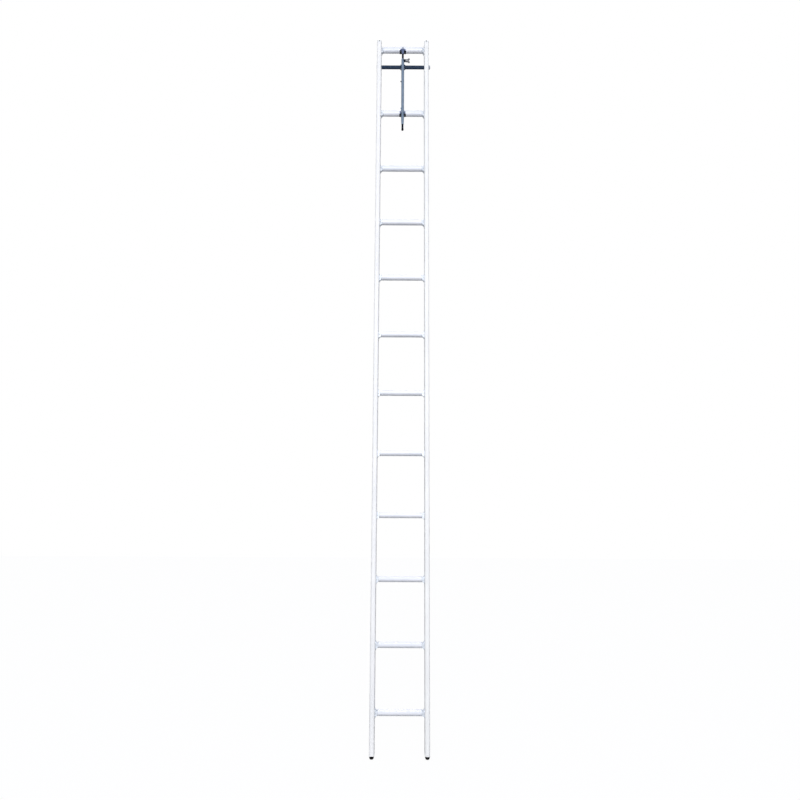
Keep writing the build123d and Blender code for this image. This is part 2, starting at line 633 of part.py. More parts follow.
def thumb_pin():
    """Pin and round head that move the lock rod through the tube's slot."""
    neck = -TUBE_RADIUS - THUMB_HEAD_GAP
    outer = (neck, HOOK_Y, THUMB_PIN_Z)
    head_end = (neck - THUMB_HEAD_LENGTH, HOOK_Y, THUMB_PIN_Z)
    head = round_bar(THUMB_HEAD_RADIUS, head_end, outer)
    head = fillet(head.edges().group_by(Axis.X)[0], THUMB_HEAD_ROUND)
    return round_bar(THUMB_PIN_RADIUS, thumb_pin_end(), outer) + head


def clamp_pad():
    """Pressure pad between the wing screw's tip and the lock rod."""
    return round_bar(SCREW_RADIUS - SLIDE_GAP, (PAD_X, HOOK_Y, WING_Z), (PAD_X + PAD_LENGTH, HOOK_Y, WING_Z))


def wing(side):
    """One wing of the screw, on the X axis, with x = 0 at the hub's base."""
    root = Pos(WING_ROOT_RADIUS + WING_EDGE, 0, 0) * Circle(WING_ROOT_RADIUS)
    tip_place = (WING_REACH - WING_TIP_RADIUS, side * (WING_SPAN / 2 - WING_TIP_RADIUS))
    tip = Pos(*tip_place) * Circle(WING_TIP_RADIUS)
    outline = make_hull(root.edges() + tip.edges())
    ear = extrude(Plane.XZ * outline, amount=WING_THICKNESS / 2, both=True)
    return fillet(ear.edges().group_by(Axis.Y)[0] + ear.edges().group_by(Axis.Y)[-1], WING_EDGE)


def wing_screw():
    """Cast wing screw: plain shank, tapered hub and two ears that flare away from the tube."""
    slope = math.degrees(math.atan((WING_HUB_RADIUS - WING_HUB_TOP_RADIUS) / WING_HUB_LENGTH))
    hub = extrude(Plane.YZ * Circle(WING_HUB_RADIUS), amount=WING_HUB_LENGTH, taper=slope)
    body = hub + wing(1) + wing(-1)
    body += round_bar(SCREW_RADIUS, (SCREW_TIP_X - WING_HUB_X, 0, 0), (0, 0, 0))
    return Pos(WING_HUB_X, HOOK_Y, WING_Z) * body


def band(holes):
    """Steel strap right round a rung, about the rung's axis."""
    strap = prism(rung_profile(BAND_THICKNESS), BAND_WIDTH) - prism(rung_profile(FIT), BAND_WIDTH)
    for hole in holes:
        strap -= hole
    return strap


def band_screw():
    """Screw at the back of a strap, about the rung's axis."""
    seat = RUNG_DEPTH / 2 + BAND_THICKNESS
    crown = seat + BAND_SCREW_HEAD_HEIGHT
    head = domed_head(BAND_SCREW_HEAD_RADIUS, (0, seat, BAND_SCREW_Z), (0, crown, BAND_SCREW_Z))
    tip = seat - BAND_SCREW_LENGTH
    return head + round_bar(BAND_SCREW_RADIUS, (0, tip, BAND_SCREW_Z), (0, seat, BAND_SCREW_Z))


def strap_space():
    """Space taken by the strap and the rung inside it, about the rung's axis."""
    return prism(rung_profile(BAND_THICKNESS), BAND_WIDTH)


def cheek(side, inner_x, y_span, top):
    """Black guide cheek screwed under a bracket, rounded at its outer corners."""
    front, back = y_span
    x_span = sorted((side * inner_x, side * CHEEK_SIDE_X))
    body = block(x_span, (front + CHEEK_SETBACK, back - CHEEK_SETBACK), (top - CHEEK_HEIGHT, top))
    outer = body.edges().filter_by(Axis.Z).group_by(Axis.X)[-1 if side > 0 else 0]
    return fillet(outer, CHEEK_EDGE)


def cheek_screw(place, radius):
    """Upright screw, or its hole, through a cheek: the place is the middle of the cheek's top."""
    x, y, top = place
    seat = top - CHEEK_HEIGHT
    return round_bar(radius, (x, y, seat), (x, y, seat + CHEEK_SCREW_LENGTH))


def cheek_screws(place):
    """Pair of screws with domed heads under the two cheeks of a bracket."""
    pair = []
    for side in (-1, 1):
        x, y, top = side * place[0], place[1], place[2]
        seat = top - CHEEK_HEIGHT
        head = domed_head(CHEEK_SCREW_HEAD_RADIUS, (x, y, seat), (x, y, seat - CHEEK_SCREW_HEAD_HEIGHT))
        pair.append(head + cheek_screw((x, y, top), CHEEK_SCREW_RADIUS))
    return group(pair)


def drilled(body, place):
    """Bracket piece with the holes of its two cheek screws."""
    for side in (-1, 1):
        body -= cheek_screw((side * place[0], place[1], place[2]), CHEEK_SCREW_RADIUS + FIT)
    return body


def catch_screw_place():
    """Place of the right screw under the catch."""
    inner = BAR_RADIUS + CHEEK_ROD_GAP
    return (inner + CATCH_HALF_WIDTH) / 2, (CATCH_FRONT_Y + CATCH_BACK_Y) / 2, CATCH_Z


def cradle_screw_place():
    """Place of the right screw under the cradle."""
    return (JAW_X + JAW_SIDE_X) / 2, (CRADLE_FRONT_Y + CRADLE_BACK_Y) / 2, JAW_BOTTOM_Z


def catch_block():
    """Block under the top strap: a socket for the lock rod, a lip in front of the rod and a heel at the back."""
    outline = Polyline(
        (CATCH_FRONT_Y, CATCH_Z),
        (CATCH_FRONT_Y, CATCH_TOP_Z - CATCH_SLOPE),
        (CATCH_FRONT_Y + CATCH_SLOPE, CATCH_TOP_Z),
        (CATCH_BACK_Y, CATCH_TOP_Z),
        (CATCH_BACK_Y, CATCH_Z),
        close=True,
    )
    body = prism(make_face(outline), 2 * CATCH_HALF_WIDTH)
    flank = Polyline(
        (CATCH_HALF_WIDTH, CATCH_Z),
        (CATCH_HALF_WIDTH, CATCH_Z + CATCH_SHOULDER),
        (CATCH_TOP_WIDTH / 2, CATCH_TOP_Z),
        (-CATCH_TOP_WIDTH / 2, CATCH_TOP_Z),
        (-CATCH_HALF_WIDTH, CATCH_Z + CATCH_SHOULDER),
        (-CATCH_HALF_WIDTH, CATCH_Z),
        close=True,
    )
    body &= extrude(Plane.XZ * make_face(flank), amount=RAIL_DEPTH, both=True)
    lip_back = HOOK_Y - BAR_RADIUS - LIP_GAP
    lip_x = (-LIP_WIDTH / 2, LIP_WIDTH / 2)
    body += block(lip_x, (CATCH_FRONT_Y, lip_back), (CATCH_Z - LIP_LENGTH, CATCH_Z))
    heel_x = (-HEEL_WIDTH / 2, HEEL_WIDTH / 2)
    heel_front = HOOK_Y + CROWN_RADIUS + HEEL_GAP
    body += block(heel_x, (heel_front, heel_front + HEEL_DEPTH), (CATCH_Z, CATCH_TOP_Z + HEEL_RISE))
    body -= Pos(0, 0, TOP_RUNG_Z) * strap_space()
    body -= round_bar(SOCKET_RADIUS, (0, HOOK_Y, CATCH_Z), (0, HOOK_Y, CATCH_TOP_Z))
    return drilled(body, catch_screw_place())


def catch_crown():
    """Pale plug pressed into the top of the socket, with a tapered crown: the lock rod stops under it."""
    crown = extrude(Circle(CROWN_RADIUS), amount=CROWN_HEIGHT, taper=CROWN_TAPER)
    crown = fillet(crown.edges().group_by(Axis.Z)[-1], CROWN_ROUND)
    spigot = round_bar(SOCKET_RADIUS - FIT, (0, HOOK_Y, SOCKET_TOP_Z), (0, HOOK_Y, CATCH_TOP_Z))
    return Pos(0, HOOK_Y, CATCH_TOP_Z) * crown + spigot


def catch_cheek(side):
    """Cheek under the catch block, beside the lock rod."""
    body = cheek(side, BAR_RADIUS + CHEEK_ROD_GAP, (CATCH_FRONT_Y, CATCH_BACK_Y), CATCH_Z)
    return drilled(body, catch_screw_place())


def cradle_jaw(side):
    """Steel jaw beside the hook tube, welded to the lower strap."""
    x_span = sorted((side * JAW_X, side * JAW_SIDE_X))
    body = block(x_span, (CRADLE_FRONT_Y, CRADLE_BACK_Y), (JAW_BOTTOM_Z, JAW_TOP_Z))
    body -= Pos(0, 0, CRADLE_RUNG_Z) * strap_space()
    return drilled(body, cradle_screw_place())


def cradle_cheek(side):
    """Cheek under a jaw, beside the hook tube."""
    body = cheek(side, JAW_X, (CRADLE_FRONT_Y, CRADLE_BACK_Y), JAW_BOTTOM_Z)
    return drilled(body, cradle_screw_place())


def ladder_nodes():
    """Rails, rungs and everything fixed to them."""
    nodes = {}
    for side, word in ((-1, "left"), (1, "right")):
        nodes[f"{word}_rail"] = rail(side)
        nodes[f"{word}_cap"] = rail_cap(side)
        nodes[f"{word}_foot"] = foot(side)
        end = on_side(ferrule(), side)
        nodes[f"ferrules_{word}"] = group(Pos(0, 0, z) * end for z in RUNG_Z)
        rivets = [on_side(Pos(0, y, 0) * ferrule_rivet(), side) for y in rivet_places()]
        nodes[f"ferrule_rivets_{word}"] = group(Pos(0, 0, z) * one for z in RUNG_Z for one in rivets)
        nodes[f"spacer_{word}"] = shaft_spacer(side)
        nodes[f"catch_cheek_{word}"] = catch_cheek(side)
        nodes[f"cradle_cheek_{word}"] = cradle_cheek(side)
    plain_rung = rung()
    for i, z in enumerate(REGULAR_RUNG_Z):
        nodes[f"rung_{i + 1:02d}"] = Pos(0, 0, z) * plain_rung
    strapped_rung = rung([band_screw_hole()])
    nodes[f"rung_{RUNG_COUNT:02d}"] = Pos(0, 0, CRADLE_RUNG_Z) * strapped_rung
    nodes["top_rung"] = Pos(0, 0, TOP_RUNG_Z) * strapped_rung
    nodes["cap_screws"] = group(cap_screw(side) for side in (-1, 1))
    nodes["rail_sleeves"] = group(rail_sleeve(side) for side in (-1, 1))
    nodes["pivot_shaft"] = pivot_shaft()
    nodes["stop_pin"] = stop_pin()
    nodes["shaft_washer"] = shaft_tube(WASHER_RIM, RAIL_OUTER_X, RAIL_OUTER_X + WASHER_THICKNESS)
    nodes["shaft_nut"] = shaft_nut()
    nodes["catch_strap"] = Pos(0, 0, TOP_RUNG_Z) * band([band_screw_hole()])
    nodes["catch_block"] = catch_block()
    nodes["catch_crown"] = catch_crown()
    nodes["catch_screws"] = cheek_screws(catch_screw_place())
    nodes["cradle_strap"] = Pos(0, 0, CRADLE_RUNG_Z) * band([band_screw_hole()])
    nodes["cradle_jaws"] = group(cradle_jaw(side) for side in (-1, 1))
    nodes["cradle_screws"] = cheek_screws(cradle_screw_place())
    nodes["strap_screws"] = group(Pos(0, 0, z) * band_screw() for z in (CRADLE_RUNG_Z, TOP_RUNG_Z))
    return nodes


def hook_nodes():
    """The folding hook and what moves on it."""
    return {
        "pivot_hub": pivot_hub(),
        "hub_bushes": group(hub_bush(side) for side in (-1, 1)),
        "hook_tube": hook_tube(),
        "clamp_boss": clamp_boss(),
        "hook_beak": hook_beak(),
        "beak_tip": beak_tip(),
        "beak_rivet": beak_rivet(),
        "lock_rod": lock_rod(),
        "thumb_pin": thumb_pin(),
        "clamp_pad": clamp_pad(),
        "wing_screw": wing_screw(),
    }


os.makedirs("parts", exist_ok=True)
for name, shape in {**ladder_nodes(), **hook_nodes()}.items():
    export_step(shape, f"parts/{name}.step")
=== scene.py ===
"""Dresses a hook ladder: aluminium rails and rungs, rubber feet and a steel hook that folds out.

Metres. X runs along the rungs, the hook folds out to -Y, Z is up and the floor is z = 0.
"""
import logging
import math
from dataclasses import dataclass
from enum import Enum
from functools import cache
from typing import Any, Callable, ClassVar, Iterable, Sequence

import bmesh
import bpy
from mathutils import Matrix, Vector


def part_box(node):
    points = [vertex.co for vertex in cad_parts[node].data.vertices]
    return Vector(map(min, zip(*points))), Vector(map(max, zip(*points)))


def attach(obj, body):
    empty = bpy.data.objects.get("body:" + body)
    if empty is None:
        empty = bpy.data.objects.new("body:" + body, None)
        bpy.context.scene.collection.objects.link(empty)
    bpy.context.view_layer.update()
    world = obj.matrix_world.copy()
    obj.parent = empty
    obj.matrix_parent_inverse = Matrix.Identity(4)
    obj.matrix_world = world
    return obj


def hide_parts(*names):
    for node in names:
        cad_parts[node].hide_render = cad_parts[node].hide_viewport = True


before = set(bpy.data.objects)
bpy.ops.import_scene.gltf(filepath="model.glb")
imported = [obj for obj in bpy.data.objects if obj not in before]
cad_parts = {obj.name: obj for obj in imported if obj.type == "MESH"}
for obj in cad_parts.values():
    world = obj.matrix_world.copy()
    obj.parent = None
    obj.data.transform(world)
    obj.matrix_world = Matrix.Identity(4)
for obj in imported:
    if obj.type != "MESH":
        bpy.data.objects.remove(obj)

Tree = bpy.types.NodeTree
Node = bpy.types.Node
Socket = bpy.types.NodeSocket
Mesh = bpy.types.Mesh
Piece = bpy.types.Object
Pair = tuple[float, float]
Place = tuple[float, float, float]
# Radius and height of a ring, and its reach at an angle where it isn't round.
Ring = tuple[float, float, Callable[[float], float] | None]

log = logging.getLogger("ladder")

MM = 0.001
# Points nearer than this become one point.
WELD = 0.004 * MM
# Faces that meet at less than this are one flat face.
FLAT = math.radians(0.5)
# Faces that meet at more than this have an edge between them.
SHARP = math.radians(35)


class Axis(Enum):
    """Directions of the ladder's frame."""

    X = 0
    Y = 1
    Z = 2


class Way(Enum):
    """Ways that a fastener's head faces, each an axis and a sign."""

    LEFT = (Axis.X, -1)
    RIGHT = (Axis.X, 1)
    FRONT = (Axis.Y, -1)
    BACK = (Axis.Y, 1)
    DOWN = (Axis.Z, -1)

    @property
    def vector(self) -> Vector:
        """The way as a vector of length one."""
        axis, sign = self.value
        return Vector([sign if other is axis else 0 for other in Axis])


class Drive(Enum):
    """Recess in a screw's head."""

    CROSS = "cross"
    HEX = "hex"


# The way from each rail to the other one.
INWARD = {"left": Way.RIGHT, "right": Way.LEFT}


def linear(hex_code: str) -> tuple[float, float, float, float]:
    """Turn an sRGB hex colour into linear light, by the curve of the sRGB standard.

    Args:
        hex_code: Six hex digits after a hash sign.

    Returns:
        Red, green, blue and a full alpha.
    """
    channels = [int(hex_code[i:i + 2], 16) / 255 for i in (1, 3, 5)]
    light = [c / 12.92 if c <= 0.04045 else ((c + 0.055) / 1.055) ** 2.4 for c in channels]
    return light[0], light[1], light[2], 1.0


def node(tree: Tree, kind: str, inputs: dict | None = None, **settings: Any) -> Node:
    """Add one node with its settings, its values and its links.

    Args:
        tree: Tree that takes the node.
        kind: Blender's name for the node's type.
        inputs: Values, or sockets to link from, by input name or number.
        settings: Properties of the node itself.

    Returns:
        The new node.
    """
    made = tree.nodes.new(kind)
    for name, value in settings.items():
        setattr(made, name, value)
    for key, value in (inputs or {}).items():
        if isinstance(value, Socket):
            tree.links.new(value, made.inputs[key])
        else:
            made.inputs[key].default_value = value
    return made


@dataclass(frozen=True)
class Finish:
    """A surface as its maker left it.

    Attributes:
        name: Common name of the material and its process.
        slot: The record's slot that it belongs to.
        colour: Main colour, as sRGB hex.
        shade: Second colour that the surface drifts to.
        metallic: How far it reflects as bare metal.
        roughness: Mean roughness.
        cloud_band: Noise values at which the second colour begins and is full.
        relief_band: Noise values at which the surface is smoothest and roughest.
        relief_strength: Share of the relief's depth that shows.
    """

    name: str
    slot: str
    colour: str
    shade: str
    metallic: float
    roughness: float
    cloud_band: ClassVar[Pair] = (0.35, 0.65)
    relief_band: ClassVar[Pair] = (0.3, 0.7)
    relief_strength: ClassVar[float] = 0.6

    def surface(self, tree: Tree, shader: Node, place: Socket) -> None:
        """Add what the surface shows over its plain colour."""
        raise NotImplementedError

    def drift(self, tree: Tree, place: Socket, size: float) -> Socket:
        """Mix the two colours in soft clouds.

        Args:
            tree: The material's tree.
            place: Object coordinates.
            size: Width of a cloud in metres.

        Returns:
            The colour.
        """
        clouds = node(
            tree,
            "ShaderNodeTexNoise",
            {"Vector": place, "Scale": 1 / size, "Detail": 3.0},
        )
        begin, full = self.cloud_band
        share = node(tree, "ShaderNodeMapRange", {0: clouds.outputs["Fac"], 1: begin, 2: full})
        colours = {0: share.outputs[0], 6: linear(self.colour), 7: linear(self.shade)}
        return node(tree, "ShaderNodeMix", colours, data_type="RGBA").outputs[2]

    def relief(
        self, tree: Tree, shader: Node, height: Socket, depth: float, spread: float
    ) -> None:
        """Let one pattern set the surface's relief and its roughness.

        Args:
            tree: The material's tree.
            shader: The material's shader.
            height: The pattern, from 0 to 1.
            depth: Height of the relief in metres.
            spread: How far the roughness goes to either side of its mean.
        """
        bump = node(
            tree,
            "ShaderNodeBump",
            {"Strength": self.relief_strength, "Distance": depth, "Height": height},
        )
        tree.links.new(bump.outputs["Normal"], shader.inputs["Normal"])
        smooth, rough = self.relief_band
        low, high = self.roughness - spread, self.roughness + spread
        gloss = node(tree, "ShaderNodeMapRange", {0: height, 1: smooth, 2: rough, 3: low, 4: high})
        tree.links.new(gloss.outputs[0], shader.inputs["Roughness"])


@cache
def material_of(finish: Finish) -> bpy.types.Material:
    """Build a finish's material once.

    Args:
        finish: The surface wanted.

    Returns:
        Its material.
    """
    material = bpy.data.materials.new(finish.name)
    material.use_nodes = True
    tree = material.node_tree
    shader = tree.nodes["Principled BSDF"]
    shader.inputs["Base Color"].default_value = linear(finish.colour)
    shader.inputs["Metallic"].default_value = finish.metallic
    shader.inputs["Roughness"].default_value = finish.roughness
    place = node(tree, "ShaderNodeTexCoord").outputs["Object"]
    finish.surface(tree, shader, place)
    return material


@dataclass(frozen=True)
class AnodisedExtrusion(Finish):
    """Clear anodised aluminium: pale, with faint die lines along the way it was extruded.

    Attributes:
        run: The way it came out of the die.
        line: Width of a die line. Real ones are finer, and are drawn this wide so that they show.
        run_length: Length over which a die line fades.
        cloud: Width of the anodising's clouds.
        line_depth: Depth of a die line.
        spread: How far the roughness goes to either side of its mean.
    """

    run: Axis = Axis.Z
    line: float = 1.2 * MM
    run_length: float = 400 * MM
    cloud: float = 180 * MM
    line_depth: float = 0.04 * MM
    spread: float = 0.06

    def surface(self, tree: Tree, shader: Node, place: Socket) -> None:
        """Draw die lines along the run over clouds of the second colour.

        Args:
            tree: The material's tree.
            shader: The material's shader.
            place: Object coordinates.
        """
        tree.links.new(self.drift(tree, place, self.cloud), shader.inputs["Base Color"])
        scale = [1 / self.run_length if axis is self.run else 1 / self.line for axis in Axis]
        stretched = node(tree, "ShaderNodeMapping", {"Vector": place, "Scale": scale})
        lines = node(
            tree,
            "ShaderNodeTexNoise",
            {"Vector": stretched.outputs["Vector"], "Scale": 1.0, "Detail": 2.0},
        )
        self.relief(tree, shader, lines.outputs["Fac"], self.line_depth, self.spread)


@dataclass(frozen=True)
class Grained(Finish):
    """A cast, moulded or plated surface: fine even grain under clouds of a second colour.

    Attributes:
        grain: Width of one grain.
        grain_depth: Height of the grain's relief.
        cloud: Width of the clouds.
        spread: How far the roughness goes to either side of its mean.
        ior: Refractive index, or 0 for a metal, which keeps the default.
        sheen: Strength of the surface reflection, where 0.5 is that of a clean smooth surface.
    """

    grain: float = 0.8 * MM
    grain_depth: float = 0.03 * MM
    cloud: float = 30 * MM
    spread: float = 0.08
    ior: float = 0.0
    sheen: float = 0.5

    def surface(self, tree: Tree, shader: Node, place: Socket) -> None:
        """Lay the grain over the clouds.

        Args:
            tree: The material's tree.
            shader: The material's shader.
            place: Object coordinates.
        """
        tree.links.new(self.drift(tree, place, self.cloud), shader.inputs["Base Color"])
        if self.ior:
            shader.inputs["IOR"].default_value = self.ior
        shader.inputs["Specular IOR Level"].default_value = self.sheen
        grain = node(
            tree,
            "ShaderNodeTexNoise",
            {"Vector": place, "Scale": 1 / self.grain, "Detail": 4.0},
        )
        self.relief(tree, shader, grain.outputs["Fac"], self.grain_depth, self.spread)


@dataclass(frozen=True)
class Coating(Grained):
    """Paint or oxide over steel, rubbed through along the edges that the mesh marks as worn.

    Attributes:
        bare: Colour of the steel under the coating.
        chip: Width of a worn patch.
        chip_band: Noise values at which a patch begins and is bare.
    """

    bare: str = "#8d949c"
    chip: float = 3 * MM
    chip_band: ClassVar[Pair] = (0.5, 0.78)

    def surface(self, tree: Tree, shader: Node, place: Socket) -> None:
        """Wear the coating off in patches along the marked edges.

        Args:
            tree: The material's tree.
            shader: The material's shader.
            place: Object coordinates.
        """
        super().surface(tree, shader, place)
        coat = shader.inputs["Base Color"].links[0].from_socket
        patches = node(
            tree,
            "ShaderNodeTexNoise",
            {"Vector": place, "Scale": 1 / self.chip, "Detail": 3.0},
        )
        begin, full = self.chip_band
        spots = node(tree, "ShaderNodeMapRange", {0: patches.outputs["Fac"], 1: begin, 2: full})
        edge = node(tree, "ShaderNodeAttribute", attribute_name="wear")
        worn = node(
            tree,
            "ShaderNodeMath",
            {0: spots.outputs[0], 1: edge.outputs["Fac"]},
            operation="MULTIPLY",
        )
        colours = {0: worn.outputs[0], 6: coat, 7: linear(self.bare)}
        mixed = node(tree, "ShaderNodeMix", colours, data_type="RGBA")
        tree.links.new(mixed.outputs[2], shader.inputs["Base Color"])


# Aluminium, extruded, etched and clear anodised: a matt, almost white metal.
# The two rails come from two batches.
LEFT_RAIL = AnodisedExtrusion(
    "anodised_rail_left", "anodised_aluminium", "#f4f4f6", "#edeef1", 0.12, 0.75
)
RIGHT_RAIL = AnodisedExtrusion(
    "anodised_rail_right", "anodised_aluminium", "#f4f5f6", "#eeeff1", 0.12, 0.78
)
# The same metal run along the rungs, satin and a little bluer.
RUNG = AnodisedExtrusion(
    "anodised_rung", "anodised_aluminium", "#eef0f8", "#e5e9f3", 0.12, 0.58, run=Axis.X
)
# Tread ribs rubbed bare by boots: a warmer white.
TREAD = Grained(
    "rubbed_tread", "anodised_aluminium", "#efebf3", "#e4e2ed", 0.35, 0.45, grain=0.6 * MM
)
# Tumbled aluminium casting: greyer and duller than the extrusions, with a fine blasted grain.
CASTING = Grained(
    "tumbled_aluminium_casting", "cast_aluminium", "#dbe0e8", "#cfd5de", 0.2, 0.5
)
# The same casting a shade darker, on the catch's crown. Its pale colour over the slate block is
# painted light, standing in for the lit top of the catch.
CROWN_PAINTED_LIGHT = Grained(
    "raw_aluminium_casting", "cast_aluminium", "#b4bccb", "#a5aebf", 0.2, 0.5
)
# Soft aluminium rivet, plain and a little bright where the tool pressed.
RIVET = Grained("plain_rivet_aluminium", "rivet_aluminium", "#c3c8cc", "#abb1b6", 0.7, 0.38)
# Moulded nylon, natural white: satin, slightly waxy.
CAP_NYLON = Grained(
    "moulded_white_nylon", "white_nylon", "#e9ecef", "#dfe4e8", 0.0, 0.45, ior=1.53
)
# Moulded rubber, black and matt, with a dusty bloom.
RUBBER = Grained(
    "moulded_rubber",
    "black_rubber",
    "#060607",
    "#0d0d0f",
    0.0,
    0.8,
    grain=0.5 * MM,
    ior=1.52,
    sheen=0.15,
)
# Glass-filled nylon, moulded black with a blue cast. On the hub's bushes the black is their own
# colour. On the brackets' cheeks it is painted shade, standing in for the shade under the catch
# block and the jaws.
BLACK_NYLON_AND_SHADE = Grained(
    "moulded_black_nylon", "black_nylon", "#040814", "#080d1a", 0.0, 0.6, ior=1.53, sheen=0.2
)
# Powder coat, blue-black and satin, with the low waves that baked powder keeps.
POWDER_COAT = Coating(
    "blue_black_powder_coat",
    "blue_black_paint",
    "#0d243d",
    "#132b46",
    0.0,
    0.5,
    grain=1.6 * MM,
    ior=1.5,
    sheen=0.2,
)
# The same powder in slate blue, on the two brackets.
SLATE_COAT = Coating(
    "slate_powder_coat",
    "slate_paint",
    "#566284",
    "#4d597a",
    0.0,
    0.5,
    grain=1.6 * MM,
    ior=1.5,
    sheen=0.4,
)
# Blue-passivated zinc plate: a cool grey with soft bluish clouds.
ZINC = Grained(
    "passivated_zinc_plate", "zinc_steel", "#6d7f95", "#76879d", 0.3, 0.42, grain=0.5 * MM
)
# The same plate without a colour, bright and pale, on the nut and its washer.
BRIGHT_ZINC = Grained(
    "bright_zinc_plate", "zinc_steel", "#9a9fab", "#a6abb6", 0.3, 0.42, grain=0.5 * MM
)
# The same plating made near black on the small screws under the cheeks. This is painted shade, so
# that they stay as dark as the shade under the brackets.
ZINC_DARKENED_AS_SHADE = Grained(
    "black_passivated_zinc_plate", "zinc_steel", "#20252d", "#2a3039", 0.3, 0.45, grain=0.5 * MM
)
# Oiled black oxide on steel: dark, slightly blue.
BLACK_OXIDE = Coating(
    "oiled_black_oxide",
    "blackened_steel",
    "#0b1220",
    "#121a29",
    0.0,
    0.6,
    grain=0.7 * MM,
    sheen=0.1,
)
# Die-cast zinc, tumbled: neutral grey with a soft sheen.
WING_CASTING = Grained("tumbled_zinc_casting", "zinc_casting", "#77797d", "#606166", 0.6, 0.4)
# Sintered bronze, oiled: brown-yellow metal with a dull gloss.
BRONZE = Grained("oiled_sintered_bronze", "bronze", "#9c7645", "#7d5c33", 0.9, 0.42)


@dataclass
class Stage:
    """Camera, floor and light.

    Attributes:
        eye: Place of the camera.
        pitch: Upward tilt of the camera in degrees.
        roll: Lean of the camera in degrees.
        lens: Focal length in millimetres on the sensor.
        sensor: Width of the sensor in millimetres.
        key_place: Middle of the round lantern that stands behind the camera.
        key_radius: Radius of the lantern.
        key_level: Brightness of a white surface that faces the lantern alone.
        ambient: Light of the studio in front of the ladder and behind it, where white is 1.
        overhead: The same straight above.
        overhead_from: Upward part of a direction at which the overhead light begins.
        flag: The same to the left and right, where dark cloths hang out of the picture.
        flag_from: Sideways part of a direction at which the cloths begin, and where they are full.
        ambient_colour: Colour of the studio's light.
        floor_half: Half the width of the floor.
        floor_colour: Colour of the floor in the light that falls on it.
        floor_lift: Light that the camera sees on the floor besides what falls on it.
    """

    eye: Place = (-0.0066, -3.357, 1.3895)
    pitch: float = 8.314
    roll: float = 0.29
    lens: float = 27.0
    sensor: float = 36.0
    key_place: Place = (-0.15, -6.0, 2.6)
    key_radius: float = 1.0
    key_level: float = 0.75
    ambient: float = 0.5
    overhead: float = 1.7
    overhead_from: float = 0.55
    flag: float = 0.12
    flag_from: Pair = (0.3, 0.85)
    ambient_colour: str = "#f1f5ff"
    floor_half: float = 9.0
    floor_colour: str = "#2e2f32"
    floor_lift: float = 0.966

    def build(self) -> None:
        """Set up everything that isn't the ladder."""
        bpy.context.scene.view_settings.view_transform = "Standard"
        self.camera()
        self.world()
        self.floor()
        self.key()

    def camera(self) -> None:
        """Put the camera where the ladder was seen from."""
        data = bpy.data.cameras.new("camera")
        data.lens = self.lens
        data.sensor_width = self.sensor
        camera = bpy.data.objects.new("camera", data)
        tilt = Matrix.Rotation(math.radians(90 + self.pitch), 4, "X")
        lean = Matrix.Rotation(math.radians(self.roll), 4, "Z")
        camera.matrix_world = Matrix.Translation(self.eye) @ tilt @ lean
        bpy.context.scene.collection.objects.link(camera)
        bpy.context.scene.camera = camera

    @staticmethod
    def seen(tree: Tree) -> Socket:
        """Give 1 to rays that show the background, straight on, in metal or through glass.

        Args:
            tree: Tree that needs the value.

        Returns:
            The socket with the value.
        """
        path = node(tree, "ShaderNodeLightPath")
        direct = node(
            tree,
            "ShaderNodeMath",
            {0: path.outputs["Is Camera Ray"], 1: path.outputs["Is Glossy Ray"]},
            operation="ADD",
        )
        either = node(
            tree,
            "ShaderNodeMath",
            {0: direct.outputs[0], 1: path.outputs["Is Transmission Ray"]},
            operation="ADD",
            use_clamp=True,
        )
        return either.outputs[0]

    def world(self) -> None:
        """Surround the ladder with white, which lights it less than it shows."""
        world = bpy.data.worlds.new("studio")
        world.use_nodes = True
        bpy.context.scene.world = world
        tree = world.node_tree
        direction = node(tree, "ShaderNodeTexCoord").outputs["Generated"]
        towards = node(tree, "ShaderNodeSeparateXYZ", {0: direction})
        sideways = node(tree, "ShaderNodeMath", {0: towards.outputs["X"]}, operation="ABSOLUTE")
        rising = node(
            tree,
            "ShaderNodeMapRange",
            {
                0: towards.outputs["Z"],
                1: self.overhead_from,
                2: 1.0,
                3: self.ambient,
                4: self.overhead,
            },
        )
        start, full = self.flag_from
        level = node(
            tree,
            "ShaderNodeMapRange",
            {0: sideways.outputs[0], 1: start, 2: full, 3: rising.outputs[0], 4: self.flag},
        )
        shown = self.seen(tree)
        strength = node(tree, "ShaderNodeMix", {0: shown, 2: level.outputs[0], 3: 1.0})
        colours = {0: shown, 6: linear(self.ambient_colour), 7: linear("#ffffff")}
        mixed = node(tree, "ShaderNodeMix", colours, data_type="RGBA")
        background = tree.nodes["Background"]
        tree.links.new(mixed.outputs[2], background.inputs["Color"])
        tree.links.new(strength.outputs[0], background.inputs["Strength"])

    def floor(self) -> None:
        """Lay a plain pale floor that looks white but keeps the shadow."""
        mesh = bpy.data.meshes.new("floor")
        half = self.floor_half
        corners = [(-half, -half, 0), (half, -half, 0), (half, half, 0), (-half, half, 0)]
        mesh.from_pydata(corners, [], [(0, 1, 2, 3)])
        floor = bpy.data.objects.new("floor", mesh)
        bpy.context.scene.collection.objects.link(floor)
        material = bpy.data.materials.new("studio_floor")
        material.use_nodes = True
        tree = material.node_tree
        tree.nodes.remove(tree.nodes["Principled BSDF"])
        matt = node(tree, "ShaderNodeBsdfDiffuse", {"Color": linear(self.floor_colour)})
        lifted = {0: self.seen(tree), 1: self.floor_lift}
        strength = node(tree, "ShaderNodeMath", lifted, operation="MULTIPLY")
        lift = node(tree, "ShaderNodeEmission", {"Strength": strength.outputs[0]})
        both = node(tree, "ShaderNodeAddShader", {0: matt.outputs[0], 1: lift.outputs[0]})
        tree.links.new(both.outputs[0], tree.nodes["Material Output"].inputs["Surface"])
        mesh.materials.append(material)

